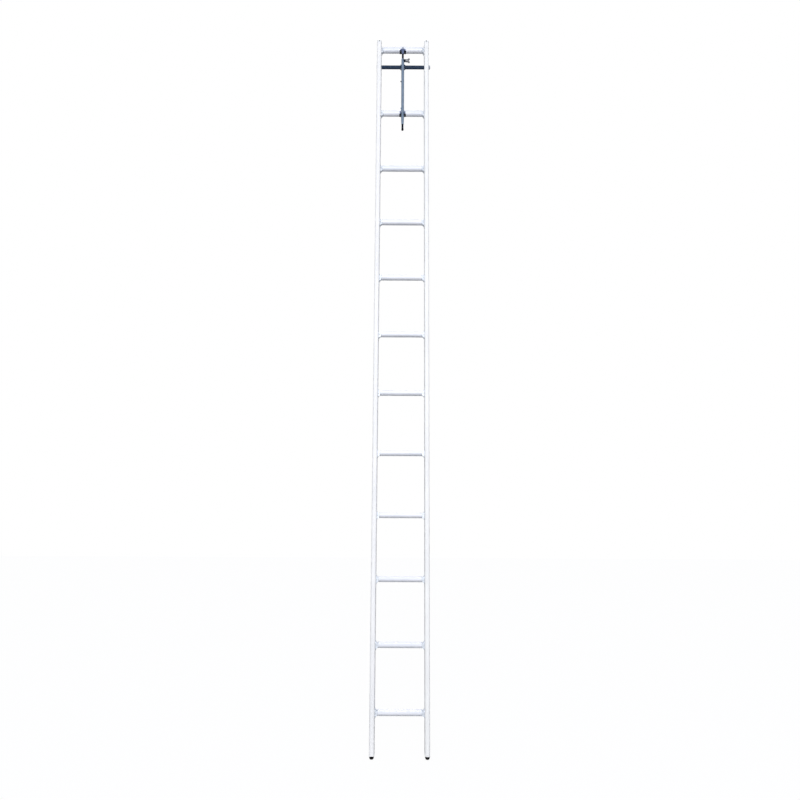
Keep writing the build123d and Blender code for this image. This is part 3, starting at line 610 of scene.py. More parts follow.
    def key(self) -> None:
        """Light the front from a lantern behind the camera, as strong at the caps as at the feet.

        A lamp of 4 pi squared watts lights a white surface one metre away to a level of 1.
        """
        data = bpy.data.lights.new("lantern", "POINT")
        data.energy = self.key_level * 4 * math.pi ** 2
        data.shadow_soft_size = self.key_radius
        data.use_nodes = True
        tree = data.node_tree
        even = node(tree, "ShaderNodeLightFalloff", {"Strength": 1.0})
        tree.links.new(even.outputs["Constant"], tree.nodes["Emission"].inputs["Strength"])
        lantern = bpy.data.objects.new("lantern", data)
        lantern.location = self.key_place
        lantern.visible_camera = False
        bpy.context.scene.collection.objects.link(lantern)


def rounded(name: str, width: float) -> Mesh:
    """Copy a node's mesh with its sharp edges rounded, and mark those edges as worn.

    Args:
        name: The node.
        width: How far the rounding goes into each face.

    Returns:
        The new mesh.
    """
    shape = bmesh.new()
    shape.from_mesh(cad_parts[name].data)
    bmesh.ops.remove_doubles(shape, verts=shape.verts, dist=WELD)
    bmesh.ops.dissolve_limit(shape, angle_limit=FLAT, verts=shape.verts, edges=shape.edges)
    wear = shape.faces.layers.float.new("wear")
    sharp = [edge for edge in shape.edges if edge.is_convex and edge.calc_face_angle() > SHARP]
    bevelled = bmesh.ops.bevel(
        shape,
        geom=sharp,
        offset=width,
        offset_type="OFFSET",
        segments=2,
        profile=0.5,
        affect="EDGES",
    )
    for face in bevelled["faces"]:
        face[wear] = 1.0
    bmesh.ops.dissolve_degenerate(shape, dist=WELD, edges=shape.edges)
    return smooth_mesh(name, shape)


def melted(name: str, voxel: float, rounds: int) -> Mesh:
    """Copy a node's mesh with its edges run together, as those of a moulding or a casting are.

    Args:
        name: The node.
        voxel: Size of the grid that the copy is made on.
        rounds: Rounds of smoothing.

    Returns:
        The new mesh.
    """
    source = bpy.data.meshes.new(name)
    shape = bmesh.new()
    shape.from_mesh(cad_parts[name].data)
    bmesh.ops.remove_doubles(shape, verts=shape.verts, dist=WELD)
    shape.to_mesh(source)
    shape.free()
    holder = bpy.data.objects.new(name, source)
    remesh = holder.modifiers.new("remesh", "REMESH")
    remesh.mode = "VOXEL"
    remesh.voxel_size = voxel
    remesh.use_smooth_shade = True
    soften = holder.modifiers.new("soften", "SMOOTH")
    soften.factor = 0.5
    soften.iterations = rounds
    return plain_mesh(holder)


def smooth_mesh(name: str, shape: bmesh.types.BMesh) -> Mesh:
    """Turn a shape into a mesh whose large faces stay flat and whose rounded edges are smooth.

    Args:
        name: Name of the mesh.
        shape: The shape, which is freed.

    Returns:
        The mesh.
    """
    mesh = bpy.data.meshes.new(name)
    for face in shape.faces:
        face.smooth = True
    shape.to_mesh(mesh)
    shape.free()
    mesh.set_sharp_from_angle(angle=SHARP)
    holder = bpy.data.objects.new(name, mesh)
    weighted = holder.modifiers.new("weighted", "WEIGHTED_NORMAL")
    weighted.keep_sharp = True
    return plain_mesh(holder)


def plain_mesh(holder: Piece) -> Mesh:
    """Apply an object's modifiers.

    Args:
        holder: The object, which is removed.

    Returns:
        The finished mesh.
    """
    bpy.context.scene.collection.objects.link(holder)
    ready = holder.evaluated_get(bpy.context.evaluated_depsgraph_get())
    mesh = bpy.data.meshes.new_from_object(ready)
    holder.modifiers.clear()
    bpy.data.objects.remove(holder)
    return mesh


def turned(profile: Sequence[Ring], points: int) -> Mesh:
    """Skin over rings about the Z axis, closed at both ends.

    Args:
        profile: The rings, from the lower end on.
        points: Points on a ring.

    Returns:
        The mesh.
    """
    shape = bmesh.new()
    angles = [2 * math.pi * i / points for i in range(points)]
    rows = []
    for radius, height, reach in profile:
        radii = [radius * (reach(angle) if reach else 1.0) for angle in angles]
        places = [(r * math.cos(a), r * math.sin(a), height) for r, a in zip(radii, angles)]
        rows.append([shape.verts.new(place) for place in places])
    for low, high in zip(rows, rows[1:]):
        for i in range(points):
            j = (i + 1) % points
            shape.faces.new((low[i], low[j], high[j], high[i]))
    shape.faces.new(rows[0][::-1])
    shape.faces.new(rows[-1])
    bmesh.ops.recalc_face_normals(shape, faces=shape.faces)
    return smooth_mesh("turned", shape)


def new_tree(name: str, inputs: dict[str, str]) -> tuple[Tree, dict[str, Socket]]:
    """Start a geometry tree with named inputs.

    Args:
        name: Name of the tree.
        inputs: Kind of each input by its name.

    Returns:
        The tree, and the sockets of its inputs by name.
    """
    tree = bpy.data.node_groups.new(name, "GeometryNodeTree")
    for label, kind in {"Geometry": "Geometry", **inputs}.items():
        tree.interface.new_socket(label, in_out="INPUT", socket_type=f"NodeSocket{kind}")
    tree.interface.new_socket("Geometry", in_out="OUTPUT", socket_type="NodeSocketGeometry")
    entry = node(tree, "NodeGroupInput")
    return tree, {label: entry.outputs[label] for label in ("Geometry", *inputs)}


def end_tree(tree: Tree, geometry: Socket, finish: Socket) -> None:
    """Make a tree's instances real and give them their material.

    Args:
        tree: The tree.
        geometry: What it made.
        finish: The material's socket.
    """
    real = node(tree, "GeometryNodeRealizeInstances", {"Geometry": geometry}).outputs[0]
    dressed = node(tree, "GeometryNodeSetMaterial", {"Geometry": real, "Material": finish})
    node(tree, "NodeGroupOutput", {"Geometry": dressed.outputs[0]})


def grown(tree: Tree, start: Mesh, values: dict[str, Any]) -> Mesh:
    """Run a geometry tree on a mesh.

    Args:
        tree: The tree.
        start: The mesh that it starts from.
        values: Its inputs by name.

    Returns:
        The result as a plain mesh.
    """
    holder = bpy.data.objects.new(tree.name, start)
    modifier = holder.modifiers.new(tree.name, "NODES")
    modifier.node_group = tree
    for socket in tree.interface.items_tree:
        if socket.in_out == "INPUT" and socket.name in values:
            modifier[socket.identifier] = values[socket.name]
    return plain_mesh(holder)


def points_mesh(places: Sequence[Vector], facing: Vector | None = None) -> Mesh:
    """Loose points for a tree to work on.

    Args:
        places: Where they are.
        facing: Way that all of them face.

    Returns:
        The points as a mesh.
    """
    mesh = bpy.data.meshes.new("points")
    mesh.from_pydata([tuple(place) for place in places], [], [])
    if facing is not None:
        attribute = mesh.attributes.new("facing", "FLOAT_VECTOR", "POINT")
        attribute.data.foreach_set("vector", list(facing) * len(places))
    return mesh


@cache
def fastener_tree() -> Tree:
    """Make the tree that sets a fastener at every point, along the way that the point faces.

    Returns:
        The tree, with a fastener and a finish as its inputs.
    """
    tree, entry = new_tree("fasteners", {"Fastener": "Object", "Finish": "Material"})
    shape = node(tree, "GeometryNodeObjectInfo", {"Object": entry["Fastener"]})
    facing = node(
        tree,
        "GeometryNodeInputNamedAttribute",
        {"Name": "facing"},
        data_type="FLOAT_VECTOR",
    )
    turn = node(
        tree,
        "FunctionNodeAlignRotationToVector",
        {"Vector": facing.outputs["Attribute"]},
        axis="Z",
    )
    placed = node(
        tree,
        "GeometryNodeInstanceOnPoints",
        {
            "Points": entry["Geometry"],
            "Instance": shape.outputs["Geometry"],
            "Rotation": turn.outputs[0],
        },
    )
    end_tree(tree, placed.outputs[0], entry["Finish"])
    return tree


@cache
def tread_tree() -> Tree:
    """Make the tree that raises rows of small blunt teeth on the tread of a rung at every point.

    Returns:
        The tree, with the tread's sizes and a finish as its inputs.
    """
    lengths = ("Length", "Clear", "Rib pitch", "Tooth pitch")
    tooth_sizes = ("Tooth base", "Tooth top", "Tooth height")
    floats = dict.fromkeys(lengths + tooth_sizes, "Float")
    tree, entry = new_tree("tread", {**floats, "Ribs": "Int", "Finish": "Material"})
    gaps = node(tree, "ShaderNodeMath", {0: entry["Ribs"], 1: 1.0}, operation="SUBTRACT")
    depth = node(
        tree,
        "ShaderNodeMath",
        {0: gaps.outputs[0], 1: entry["Rib pitch"]},
        operation="MULTIPLY",
    )
    steps = node(
        tree,
        "ShaderNodeMath",
        {0: entry["Length"], 1: entry["Tooth pitch"]},
        operation="DIVIDE",
    )
    grid = node(
        tree,
        "GeometryNodeMeshGrid",
        {
            "Size X": entry["Length"],
            "Size Y": depth.outputs[0],
            "Vertices X": steps.outputs[0],
            "Vertices Y": entry["Ribs"],
        },
    )
    position = node(tree, "GeometryNodeInputPosition").outputs[0]
    place = node(tree, "ShaderNodeSeparateXYZ", {0: position})
    along = node(tree, "ShaderNodeMath", {0: place.outputs["X"]}, operation="ABSOLUTE")
    covered = node(
        tree,
        "ShaderNodeMath",
        {0: along.outputs[0], 1: entry["Clear"]},
        operation="LESS_THAN",
    )
    free = node(
        tree,
        "GeometryNodeDeleteGeometry",
        {"Geometry": grid.outputs["Mesh"], "Selection": covered.outputs[0]},
    )
    tooth = node(
        tree,
        "GeometryNodeMeshCone",
        {
            "Vertices": 4,
            "Radius Top": entry["Tooth top"],
            "Radius Bottom": entry["Tooth base"],
            "Depth": entry["Tooth height"],
        },
    )
    teeth = node(
        tree,
        "GeometryNodeInstanceOnPoints",
        {
            "Points": free.outputs[0],
            "Instance": tooth.outputs["Mesh"],
            "Rotation": (0.0, 0.0, math.radians(45)),
        },
    )
    one_rung = node(tree, "GeometryNodeRealizeInstances", {"Geometry": teeth.outputs[0]})
    rungs = node(
        tree,
        "GeometryNodeInstanceOnPoints",
        {"Points": entry["Geometry"], "Instance": one_rung.outputs[0]},
    )
    end_tree(tree, rungs.outputs[0], entry["Finish"])
    return tree


@cache
def weld_tree() -> Tree:
    """Make the tree that lays the overlapping ripples of a weld along every line.

    Returns:
        The tree, with the ripples' pitch and width and a finish as its inputs.
    """
    tree, entry = new_tree("weld", {"Pitch": "Float", "Width": "Float", "Finish": "Material"})
    line = node(tree, "GeometryNodeMeshToCurve", {"Mesh": entry["Geometry"]})
    steps = node(
        tree,
        "GeometryNodeResampleCurve",
        {"Curve": line.outputs[0], "Length": entry["Pitch"]},
        mode="LENGTH",
    )
    tangent = node(tree, "GeometryNodeInputTangent").outputs[0]
    turn = node(tree, "FunctionNodeAlignRotationToVector", {"Vector": tangent}, axis="Z")
    sizes = {0: entry["Width"], 1: entry["Width"], 2: entry["Pitch"]}
    size = node(tree, "ShaderNodeCombineXYZ", sizes)
    ripple = node(tree, "GeometryNodeMeshIcoSphere", {"Radius": 1.0, "Subdivisions": 2})
    placed = node(
        tree,
        "GeometryNodeInstanceOnPoints",
        {
            "Points": steps.outputs[0],
            "Instance": ripple.outputs[0],
            "Rotation": turn.outputs[0],
            "Scale": size.outputs[0],
        },
    )
    soft = node(tree, "GeometryNodeSetShadeSmooth", {"Geometry": placed.outputs[0]})
    end_tree(tree, soft.outputs[0], entry["Finish"])
    return tree


def set_fasteners(mesh: Mesh, places: Sequence[Vector], way: Way, finish: Finish) -> Mesh:
    """Set one fastener at each place.

    Args:
        mesh: The fastener on the Z axis, its seat at zero.
        places: Middle of each seat.
        way: Way that the heads face.
        finish: Their surface.

    Returns:
        All of them in one mesh.
    """
    pattern = bpy.data.objects.new("pattern", mesh)
    values = {"Fastener": pattern, "Finish": material_of(finish)}
    result = grown(fastener_tree(), points_mesh(places, way.vector), values)
    bpy.data.objects.remove(pattern)
    return result


def dome(wide: float, high: float, flat: float, foot: float, turns: Sequence[int]) -> list[Pair]:
    """Outline of a domed head.

    Args:
        wide: Radius of the head.
        high: Height of the head.
        flat: Radius of the flat on top, as a share of the head's.
        foot: Height at which the dome begins, as a share of the head's.
        turns: Degrees at which points lie on the dome, from its rim up.

    Returns:
        Radius and height of each point.
    """
    angles = [math.radians(turn) for turn in turns]
    radii = [wide * (flat + (1 - flat) * math.cos(angle)) for angle in angles]
    heights = [high * (foot + (1 - foot) * math.sin(angle)) for angle in angles]
    return list(zip(radii, heights))


@dataclass(frozen=True)
class Screw:
    """A screw with a domed head and a recess for its key.

    Attributes:
        radius: Radius of the shank.
        head_radius: Radius of the head.
        head_height: Height of the head.
        drive: Recess in the head.
        reach: Half the recess's width, as a share of the head's radius.
        slit: Half the width of a cross's arm, as a share of the head's radius.
        depth: Depth of the recess, as a share of the head's height.
        draft: Size of the recess at its floor, as a share of that at its mouth.
        land: Radius of the flat round the recess, as a share of its reach.
        tip: Radius of the shank's end and length of its taper, as shares of the shank's radius.
        edge: Radius under the head and height of the bevel there, as shares of the head's sizes.
        dome_foot: Height at which the dome begins, as a share of the head's.
        dome_turns: Degrees at which points lie on the dome.
        points: Points round the screw.
    """

    radius: float
    head_radius: float
    head_height: float
    drive: Drive
    reach: float = 0.52
    slit: float = 0.15
    depth: float = 0.6
    draft: ClassVar[float] = 0.9
    land: ClassVar[float] = 1.12
    tip: ClassVar[Pair] = (0.7, 0.4)
    edge: ClassVar[Pair] = (0.96, 0.1)
    dome_foot: ClassVar[float] = 0.35
    dome_turns: ClassVar[tuple[int, ...]] = (0, 22, 45, 68, 90)
    points: ClassVar[int] = 48

    def recess(self, angle: float) -> float:
        """Reach of the recess at an angle.

        Args:
            angle: Angle round the screw.

        Returns:
            The reach, as a share of the head's radius.
        """
        if self.drive is Drive.HEX:
            sector = math.pi / 3
            return self.reach * math.cos(sector / 2) / math.cos(angle % sector - sector / 2)
        across = min(abs(math.sin(angle)), abs(math.cos(angle)))
        return self.reach if self.reach * across < self.slit else self.slit / across

    def mesh(self, length: float) -> Mesh:
        """Make the screw on the Z axis, its seat at zero and its head up.

        Args:
            length: Length under the head.

        Returns:
            The screw.
        """
        wide, high = self.head_radius, self.head_height
        tip_radius, taper = self.tip
        edge_radius, bevel = self.edge
        rim = dome(wide, high, self.reach * self.land, self.dome_foot, self.dome_turns)
        profile = [
            (self.radius * tip_radius, -length, None),
            (self.radius, self.radius * taper - length, None),
            (self.radius, 0.0, None),
            (wide * edge_radius, 0.0, None),
            (wide, high * bevel, None),
            *[(radius, height, None) for radius, height in rim],
            (wide, high, self.recess),
            (wide * self.draft, high * (1 - self.depth), self.recess),
        ]
        return turned(profile, self.points)

    def pair(self, name: str, row: Axis, way: Way, finish: Finish) -> Mesh:
        """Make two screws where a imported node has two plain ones.

        Args:
            name: The node.
            row: Axis along which the two stand apart.
            way: Way that their heads face.
            finish: Their surface.

        Returns:
            Both in one mesh.
        """
        low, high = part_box(name)
        axis, sign = way.value
        crown, end = (high, low) if sign > 0 else (low, high)
        seat = crown[axis.value] - sign * self.head_height
        first, last = (low + high) / 2, (low + high) / 2
        first[row.value] = low[row.value] + self.head_radius
        last[row.value] = high[row.value] - self.head_radius
        for place in (first, last):
            place[axis.value] = seat
        shape = self.mesh(abs(seat - end[axis.value]))
        return set_fasteners(shape, (first, last), way, finish)


@dataclass(frozen=True)
class BlindRivet:
    """A pulled rivet: a low dome with the broken end of its mandrel in the middle.

    Attributes:
        radius: Radius of the shank.
        head_radius: Radius of the head.
        head_height: Height of the head.
        grip: Length between head and tail.
        tail_radius: Radius of the tail.
        tail_height: Height of the tail.
        tail_tip: Radius of the tail's end and length of its taper, as shares of the tail's sizes.
        dome_foot: Height at which the dome begins, as a share of the head's.
        dome_turns: Degrees at which points lie on the dome.
        mandrel: Radius and height of the hole's wall, its floor and the mandrel's end, as shares
            of the head's sizes.
        points: Points round the rivet.
    """

    radius: float = 2.0 * MM
    head_radius: float = 3.6 * MM
    head_height: float = 2.0 * MM
    grip: float = 5.0 * MM
    tail_radius: float = 3.0 * MM
    tail_height: float = 1.8 * MM
    tail_tip: ClassVar[Pair] = (0.8, 0.4)
    dome_foot: ClassVar[float] = 0.15
    dome_turns: ClassVar[tuple[int, ...]] = (0, 25, 48, 66)
    mandrel: ClassVar[tuple[Pair, ...]] = ((0.3, 0.72), (0.26, 0.6), (0.2, 0.86))
    points: ClassVar[int] = 20

    def mesh(self) -> Mesh:
        """Make the rivet on the Z axis, its seat at zero and its head up.

        Returns:
            The rivet.
        """
        wide, high = self.head_radius, self.head_height
        tail_end = -self.grip - self.tail_height
        tip_radius, taper = self.tail_tip
        outline = [
            (self.tail_radius * tip_radius, tail_end),
            (self.tail_radius, tail_end + self.tail_height * taper),
            (self.tail_radius, -self.grip),
            (self.radius, -self.grip),
            (self.radius, 0.0),
            (wide, 0.0),
            *dome(wide, high, 0.0, self.dome_foot, self.dome_turns),
            *[(wide * radius, high * height) for radius, height in self.mandrel],
        ]
        return turned([(radius, height, None) for radius, height in outline], self.points)


@dataclass
class SubAssembly:
    """Pieces that are made and fitted together."""

    body: ClassVar[str] = "ladder"

    def build(self) -> Iterable[Piece]:
        """Make and dress the pieces."""
        raise NotImplementedError

    @staticmethod
    def dress(finish: Finish, *nodes: str) -> list[Piece]:
        """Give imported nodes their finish.

        Args:
            finish: The surface.
            nodes: Names of the nodes.

        Returns:
            The nodes' objects.
        """
        dressed = [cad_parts[name] for name in nodes]
        for piece in dressed:
            piece.material_slots[0].material = material_of(finish)
        return dressed

    def add(self, name: str, mesh: Mesh, finish: Finish, *nodes: str, body: str = "") -> Piece:
        """Put a new piece on the ladder.

        Args:
            name: Name of the piece.
            mesh: Its shape, in place.
            finish: Its surface.
            nodes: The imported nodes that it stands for.
            body: The body that it moves with, if that isn't the sub-assembly's own.

        Returns:
            The piece.
        """
        mesh.name = name
        mesh.materials.clear()
        mesh.materials.append(material_of(finish))
        piece = bpy.data.objects.new(name, mesh)
        bpy.context.scene.collection.objects.link(piece)
        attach(piece, body or self.body)
        if nodes:
            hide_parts(*nodes)
        return piece

    def soften(self, finish: Finish, width: float, *nodes: str) -> Iterable[Piece]:
        """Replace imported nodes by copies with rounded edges.

        Args:
            finish: Their surface.
            width: Width of the rounding.
            nodes: Names of the nodes.

        Yields:
            The copies.
        """
        for name in nodes:
            yield self.add(f"{name}_rounded", rounded(name, width), finish, name)


@dataclass
class Rails(SubAssembly):
    """The two rails with their caps and feet.

    Attributes:
        mould_voxel: Grid on which caps and feet are melted.
        mould_rounds: Rounds of smoothing on them.
        screw: Screw at the front of a cap.
    """

    mould_voxel: float = 0.7 * MM
    mould_rounds: int = 5
    screw: Screw = Screw(1.75 * MM, 3.4 * MM, 1.5 * MM, Drive.CROSS)

    def build(self) -> Iterable[Piece]:
        """Dress the rails, round the caps and feet and set the caps' screws.

        Yields:
            The pieces.
        """
        yield from self.dress(LEFT_RAIL, "left_rail")
        yield from self.dress(RIGHT_RAIL, "right_rail")
        for side in INWARD:
            yield self.moulding(CAP_NYLON, f"{side}_cap")
            yield self.moulding(RUBBER, f"{side}_foot")
        screws = self.screw.pair("cap_screws", Axis.X, Way.FRONT, BLACK_OXIDE)
        yield self.add("cap_cross_screws", screws, BLACK_OXIDE, "cap_screws")

    def moulding(self, finish: Finish, name: str) -> Piece:
        """Replace a packed cap or foot by a copy with moulded edges."""
        mesh = melted(name, self.mould_voxel, self.mould_rounds)
        return self.add(f"{name}_moulded", mesh, finish, name)


@dataclass
class Rungs(SubAssembly):
    """Twelve rungs with their cast ends.

    Attributes:
        strapped: Rungs with a strap round their middle.
        ferrule_edge: Rounding of the cast ends.
        rivet: Rivet that holds a cast end.
        ribs: Rows of teeth on a tread.
        rib_pitch: Distance from row to row.
        tooth_pitch: Distance from tooth to tooth.
        tooth_base: Half the diagonal of a tooth at its foot.
        tooth_top: The same at its top.
        tooth_height: Height of a tooth over its rib.
        tooth_margin: Plain length at each end of a tread.
        strap_margin: Plain length at each side of a strap.
    """

    strapped: tuple[str, ...] = ("rung_11", "top_rung")
    ferrule_edge: float = 0.5 * MM
    rivet: BlindRivet = BlindRivet()
    ribs: int = 6
    rib_pitch: float = 4.2 * MM
    tooth_pitch: float = 5.0 * MM
    tooth_base: float = 1.5 * MM
    tooth_top: float = 0.9 * MM
    tooth_height: float = 0.7 * MM
    tooth_margin: float = 4.0 * MM
    strap_margin: float = 2.0 * MM

    @staticmethod
    def names() -> list[str]:
        """Names of the rungs' nodes."""
        return [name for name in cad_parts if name.startswith("rung_") or name == "top_rung"]

    def build(self) -> Iterable[Piece]:
        """Dress the rungs and their ends, raise the teeth of the treads and set the rivets.

        Yields:
            The pieces.
        """
        yield from self.dress(RUNG, *self.names())
        yield from self.soften(CASTING, self.ferrule_edge, "ferrules_left", "ferrules_right")
        strap_low, strap_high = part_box("catch_strap")
        strap = (strap_high.x - strap_low.x) / 2 + self.strap_margin
        plain = [name for name in self.names() if name not in self.strapped]
        yield self.teeth("tread_teeth", plain, 0.0)
        yield self.teeth("tread_teeth_beside_straps", self.strapped, strap)
        for side, way in INWARD.items():
            yield self.rivets(f"ferrule_rivets_{side}", way)

    def teeth(self, name: str, rungs: Sequence[str], clear: float) -> Piece:
        """Raise teeth on the treads of some rungs.

        Args:
            name: Name of the piece.
            rungs: The rungs' nodes, all of one length.
            clear: Half the length in the middle of each that stays plain.

        Returns:
            The piece.
        """
        places = []
        for rung in rungs:
            low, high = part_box(rung)
            places.append(Vector(((low.x + high.x) / 2, (low.y + high.y) / 2, high.z)))
        values = {
            "Length": high.x - low.x - 2 * self.tooth_margin,
            "Clear": clear,
            "Rib pitch": self.rib_pitch,
            "Ribs": self.ribs,
            "Tooth pitch": self.tooth_pitch,
            "Tooth base": self.tooth_base,
            "Tooth top": self.tooth_top,
            "Tooth height": self.tooth_height,
            "Finish": material_of(TREAD),
        }
        return self.add(name, grown(tread_tree(), points_mesh(places), values), TREAD)

    def rivets(self, name: str, way: Way) -> Piece:
        """Set the rivets of one rail's ferrules.

        Args:
            name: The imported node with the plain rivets.
            way: Way that their heads face.

        Returns:
            The piece.
        """
        low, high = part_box(name)
        sign = way.value[1]
        crown = high.x if sign > 0 else low.x
        seat = crown - sign * self.rivet.head_height
        places = []
        for rung in self.names():
            middle = sum(corner.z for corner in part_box(rung)) / 2
            for y in (low.y + self.rivet.head_radius, high.y - self.rivet.head_radius):
                places.append(Vector((seat, y, middle)))
        mesh = set_fasteners(self.rivet.mesh(), places, way, RIVET)
        return self.add(f"{name}_pulled", mesh, RIVET, name)


@dataclass
class CrossShaft(SubAssembly):
    """The shaft through both rails and what sits on it.

    Attributes:
        spacer_edge: Rounding of the spacer tubes.
        washer_edge: Rounding of the washer.
        nut_voxel: Grid on which the nut is melted.
        nut_rounds: Rounds of smoothing on it.
    """

    spacer_edge: float = 0.5 * MM
    washer_edge: float = 0.3 * MM
    nut_voxel: float = 0.35 * MM
    nut_rounds: int = 3

    def build(self) -> Iterable[Piece]:
        """Dress the shaft and round its spacers, washer and nut.

        Yields:
            The pieces.
        """
        yield from self.soften(POWDER_COAT, self.spacer_edge, "spacer_left", "spacer_right")
        yield from self.dress(ZINC, "pivot_shaft", "rail_sleeves", "stop_pin")
        yield from self.soften(BRIGHT_ZINC, self.washer_edge, "shaft_washer")
        nut = melted("shaft_nut", self.nut_voxel, self.nut_rounds)
        yield self.add("shaft_nut_rounded", nut, BRIGHT_ZINC, "shaft_nut")


@dataclass
class Brackets(SubAssembly):
    """Catch on the top rung and cradle on the rung below the shaft.

    Attributes:
        block_edge: Rounding of the catch block and the jaws.
        strap_edge: Rounding of the straps and the crown.
        cheek_edge: Rounding of the cheeks.
        cheek_screw: Screw under a cheek.
        strap_screw: Screw at the back of a strap.
    """

    block_edge: float = 0.7 * MM
    strap_edge: float = 0.3 * MM
    cheek_edge: float = 0.6 * MM
    cheek_screw: Screw = Screw(1.9 * MM, 3.2 * MM, 1.8 * MM, Drive.HEX)
    strap_screw: Screw = Screw(2.4 * MM, 4.0 * MM, 2.6 * MM, Drive.CROSS)

    def build(self) -> Iterable[Piece]:
        """Round the straps, blocks and cheeks and set their screws.

        Yields:
            The pieces.
        """
        yield from self.soften(RUNG, self.strap_edge, "catch_strap", "cradle_strap")
        yield from self.soften(SLATE_COAT, self.block_edge, "catch_block", "cradle_jaws")
        # The crown's pale casting is painted light, standing in for the lit top of the catch
        # block.
        yield from self.soften(CROWN_PAINTED_LIGHT, self.strap_edge, "catch_crown")
        # The cheeks' near black is painted shade, set where the brackets' undersides lie in shade.
        for side in INWARD:
            cheeks = (f"catch_cheek_{side}", f"cradle_cheek_{side}")
            yield from self.soften(BLACK_NYLON_AND_SHADE, self.cheek_edge, *cheeks)
        # These screws are near black as painted shade, matching the shade under the cheeks.
        for name in ("catch_screws", "cradle_screws"):
            screws = self.cheek_screw.pair(name, Axis.X, Way.DOWN, ZINC_DARKENED_AS_SHADE)
            yield self.add(f"{name}_hex", screws, ZINC_DARKENED_AS_SHADE, name)
        screws = self.strap_screw.pair("strap_screws", Axis.Z, Way.BACK, ZINC)
        yield self.add("strap_cross_screws", screws, ZINC, "strap_screws")


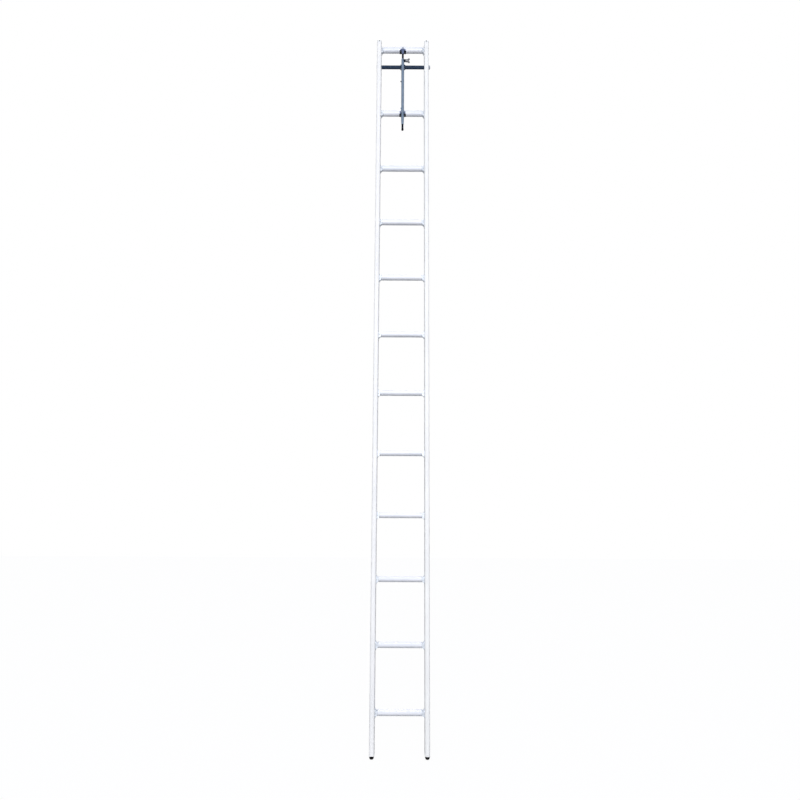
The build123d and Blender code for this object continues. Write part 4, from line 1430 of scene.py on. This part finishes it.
@dataclass
class Hook(SubAssembly):
    """The folding hook with its hub, lock rod and wing screw.

    Attributes:
        hub_edge: Rounding of the hub.
        bush_edge: Rounding of its bushes.
        tube_edge: Rounding of the tube's ends.
        boss_edge: Rounding of the wing screw's boss.
        casting_voxel: Grid on which the wing is melted.
        casting_rounds: Rounds of smoothing on it.
        thumb_radius: Radius of the thumb pin's head.
        thumb_length: Length of the head.
        thumb_edge: Radius of the head's back, as a share of its radius.
        thumb_dish: Radius and height of the rings on the head's front, as shares of its sizes.
        pin_radius: Radius of the pin behind the head.
        knurl_ridges: Ridges round the head.
        knurl_points: Points on a ridge.
        knurl_depth: Depth of a valley, as a share of the head's radius.
        knurl_band: Where the ridges begin and end, as shares of the head's length.
        weld_pitch: Distance between a weld's ripples.
        weld_width: Radius of the welds along the tube.
        weld_inset: Distance of those welds from the hub's lower end.
        boss_weld_width: Radius of the weld round the boss.
        boss_weld_points: Points on that weld's line.
    """

    body: ClassVar[str] = "hook"
    hub_edge: float = 0.8 * MM
    bush_edge: float = 0.3 * MM
    tube_edge: float = 0.3 * MM
    boss_edge: float = 0.6 * MM
    casting_voxel: float = 0.45 * MM
    casting_rounds: int = 6
    thumb_radius: float = 3.9 * MM
    thumb_length: float = 4.0 * MM
    thumb_edge: float = 0.9
    thumb_dish: tuple[Pair, ...] = ((0.9, 0.94), (0.72, 1.0), (0.4, 0.94))
    pin_radius: float = 2.4 * MM
    knurl_ridges: int = 20
    knurl_points: int = 4
    knurl_depth: float = 0.08
    knurl_band: Pair = (0.1, 0.78)
    weld_pitch: float = 1.1 * MM
    weld_width: float = 1.3 * MM
    weld_inset: float = 3.0 * MM
    boss_weld_width: float = 1.0 * MM
    boss_weld_points: int = 72

    def build(self) -> Iterable[Piece]:
        """Dress the hook, cast its wing and lay its welds.

        Yields:
            The pieces.
        """
        yield from self.soften(POWDER_COAT, self.hub_edge, "pivot_hub")
        yield from self.soften(ZINC, self.tube_edge, "hook_tube")
        yield from self.soften(BLACK_OXIDE, self.boss_edge, "clamp_boss")
        yield from self.soften(BLACK_NYLON_AND_SHADE, self.bush_edge, "hub_bushes")
        yield from self.dress(ZINC, "beak_rivet")
        yield from self.dress(BLACK_OXIDE, "hook_beak", "lock_rod")
        yield from self.dress(RUBBER, "beak_tip")
        yield from self.dress(BRONZE, "clamp_pad")
        wing = melted("wing_screw", self.casting_voxel, self.casting_rounds)
        yield self.add("wing_casting", wing, WING_CASTING, "wing_screw", body="wing_screw")
        pin = self.thumb_pin()
        yield self.add("knurled_thumb_pin", pin, BLACK_OXIDE, "thumb_pin", body="lock_rod")
        yield self.add("saddle_welds", self.saddle_welds(), POWDER_COAT)
        yield self.add("boss_weld", self.boss_weld(), BLACK_OXIDE)

    def thumb_pin(self) -> Mesh:
        """Make the thumb pin with a straight knurl round its head.

        Returns:
            The pin, in place.
        """
        low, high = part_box("thumb_pin")
        length = high.x - low.x - self.thumb_length
        wide, tall = self.thumb_radius, self.thumb_length
        start, end = self.knurl_band

        def knurl(angle: float) -> float:
            """Share of the radius that a ridge or a valley keeps."""
            return 1 - self.knurl_depth * abs(math.sin(angle * self.knurl_ridges / 2))

        profile = [
            (self.pin_radius, -length, None),
            (self.pin_radius, 0.0, None),
            (wide * self.thumb_edge, 0.0, None),
            (wide, tall * start, knurl),
            (wide, tall * end, knurl),
            *[(wide * radius, tall * height, None) for radius, height in self.thumb_dish],
        ]
        seat = Vector((low.x + self.thumb_length, (low.y + high.y) / 2, (low.z + high.z) / 2))
        shape = turned(profile, self.knurl_ridges * self.knurl_points)
        return set_fasteners(shape, [seat], Way.LEFT, BLACK_OXIDE)

    def weld(
        self,
        points: Sequence[Place],
        edges: Sequence[tuple[int, int]],
        width: float,
        finish: Finish,
    ) -> Mesh:
        """Lay ripples along lines.

        Args:
            points: Points of the lines.
            edges: Pairs of points that the lines join.
            width: Radius of the ripples.
            finish: Their surface.

        Returns:
            The weld.
        """
        lines = bpy.data.meshes.new("weld_lines")
        lines.from_pydata(points, edges, [])
        values = {"Pitch": self.weld_pitch, "Width": width, "Finish": material_of(finish)}
        return grown(weld_tree(), lines, values)

    def saddle_welds(self) -> Mesh:
        """Lay the two welds that hold the tube in its saddle.

        Returns:
            Both welds.
        """
        tube_low, tube_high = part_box("hook_tube")
        hub_low, hub_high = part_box("pivot_hub")
        y = (tube_low.y + tube_high.y) / 2
        bottom = hub_low.z + self.weld_inset
        top = (hub_low.z + hub_high.z) / 2
        ends = [(x, y, z) for x in (tube_low.x, tube_high.x) for z in (bottom, top)]
        return self.weld(ends, [(0, 1), (2, 3)], self.weld_width, POWDER_COAT)

    def boss_weld(self) -> Mesh:
        """Lay the weld round the boss, where it meets the tube.

        Returns:
            The weld.
        """
        tube_low, tube_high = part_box("hook_tube")
        boss_low, boss_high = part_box("clamp_boss")
        middle = (boss_low + boss_high) / 2
        tube_radius = (tube_high.x - tube_low.x) / 2
        boss_radius = (boss_high.z - boss_low.z) / 2
        count = self.boss_weld_points
        ring = []
        for i in range(count):
            angle = 2 * math.pi * i / count
            aside = boss_radius * math.cos(angle)
            out = math.sqrt(max(tube_radius ** 2 - aside ** 2, 0.0))
            ring.append((out, middle.y + aside, middle.z + boss_radius * math.sin(angle)))
        edges = [(i, (i + 1) % count) for i in range(count)]
        return self.weld(ring, edges, self.boss_weld_width, BLACK_OXIDE)


def main() -> None:
    """Build the stage and every sub-assembly in order."""
    logging.basicConfig(level=logging.INFO, format="%(message)s")
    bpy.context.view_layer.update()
    Stage().build()
    for assembly in (Rails(), Rungs(), CrossShaft(), Brackets(), Hook()):
        for piece in assembly.build():
            log.info("%s: %s", type(assembly).__name__, piece.name)


if __name__ == "__main__":
    main()
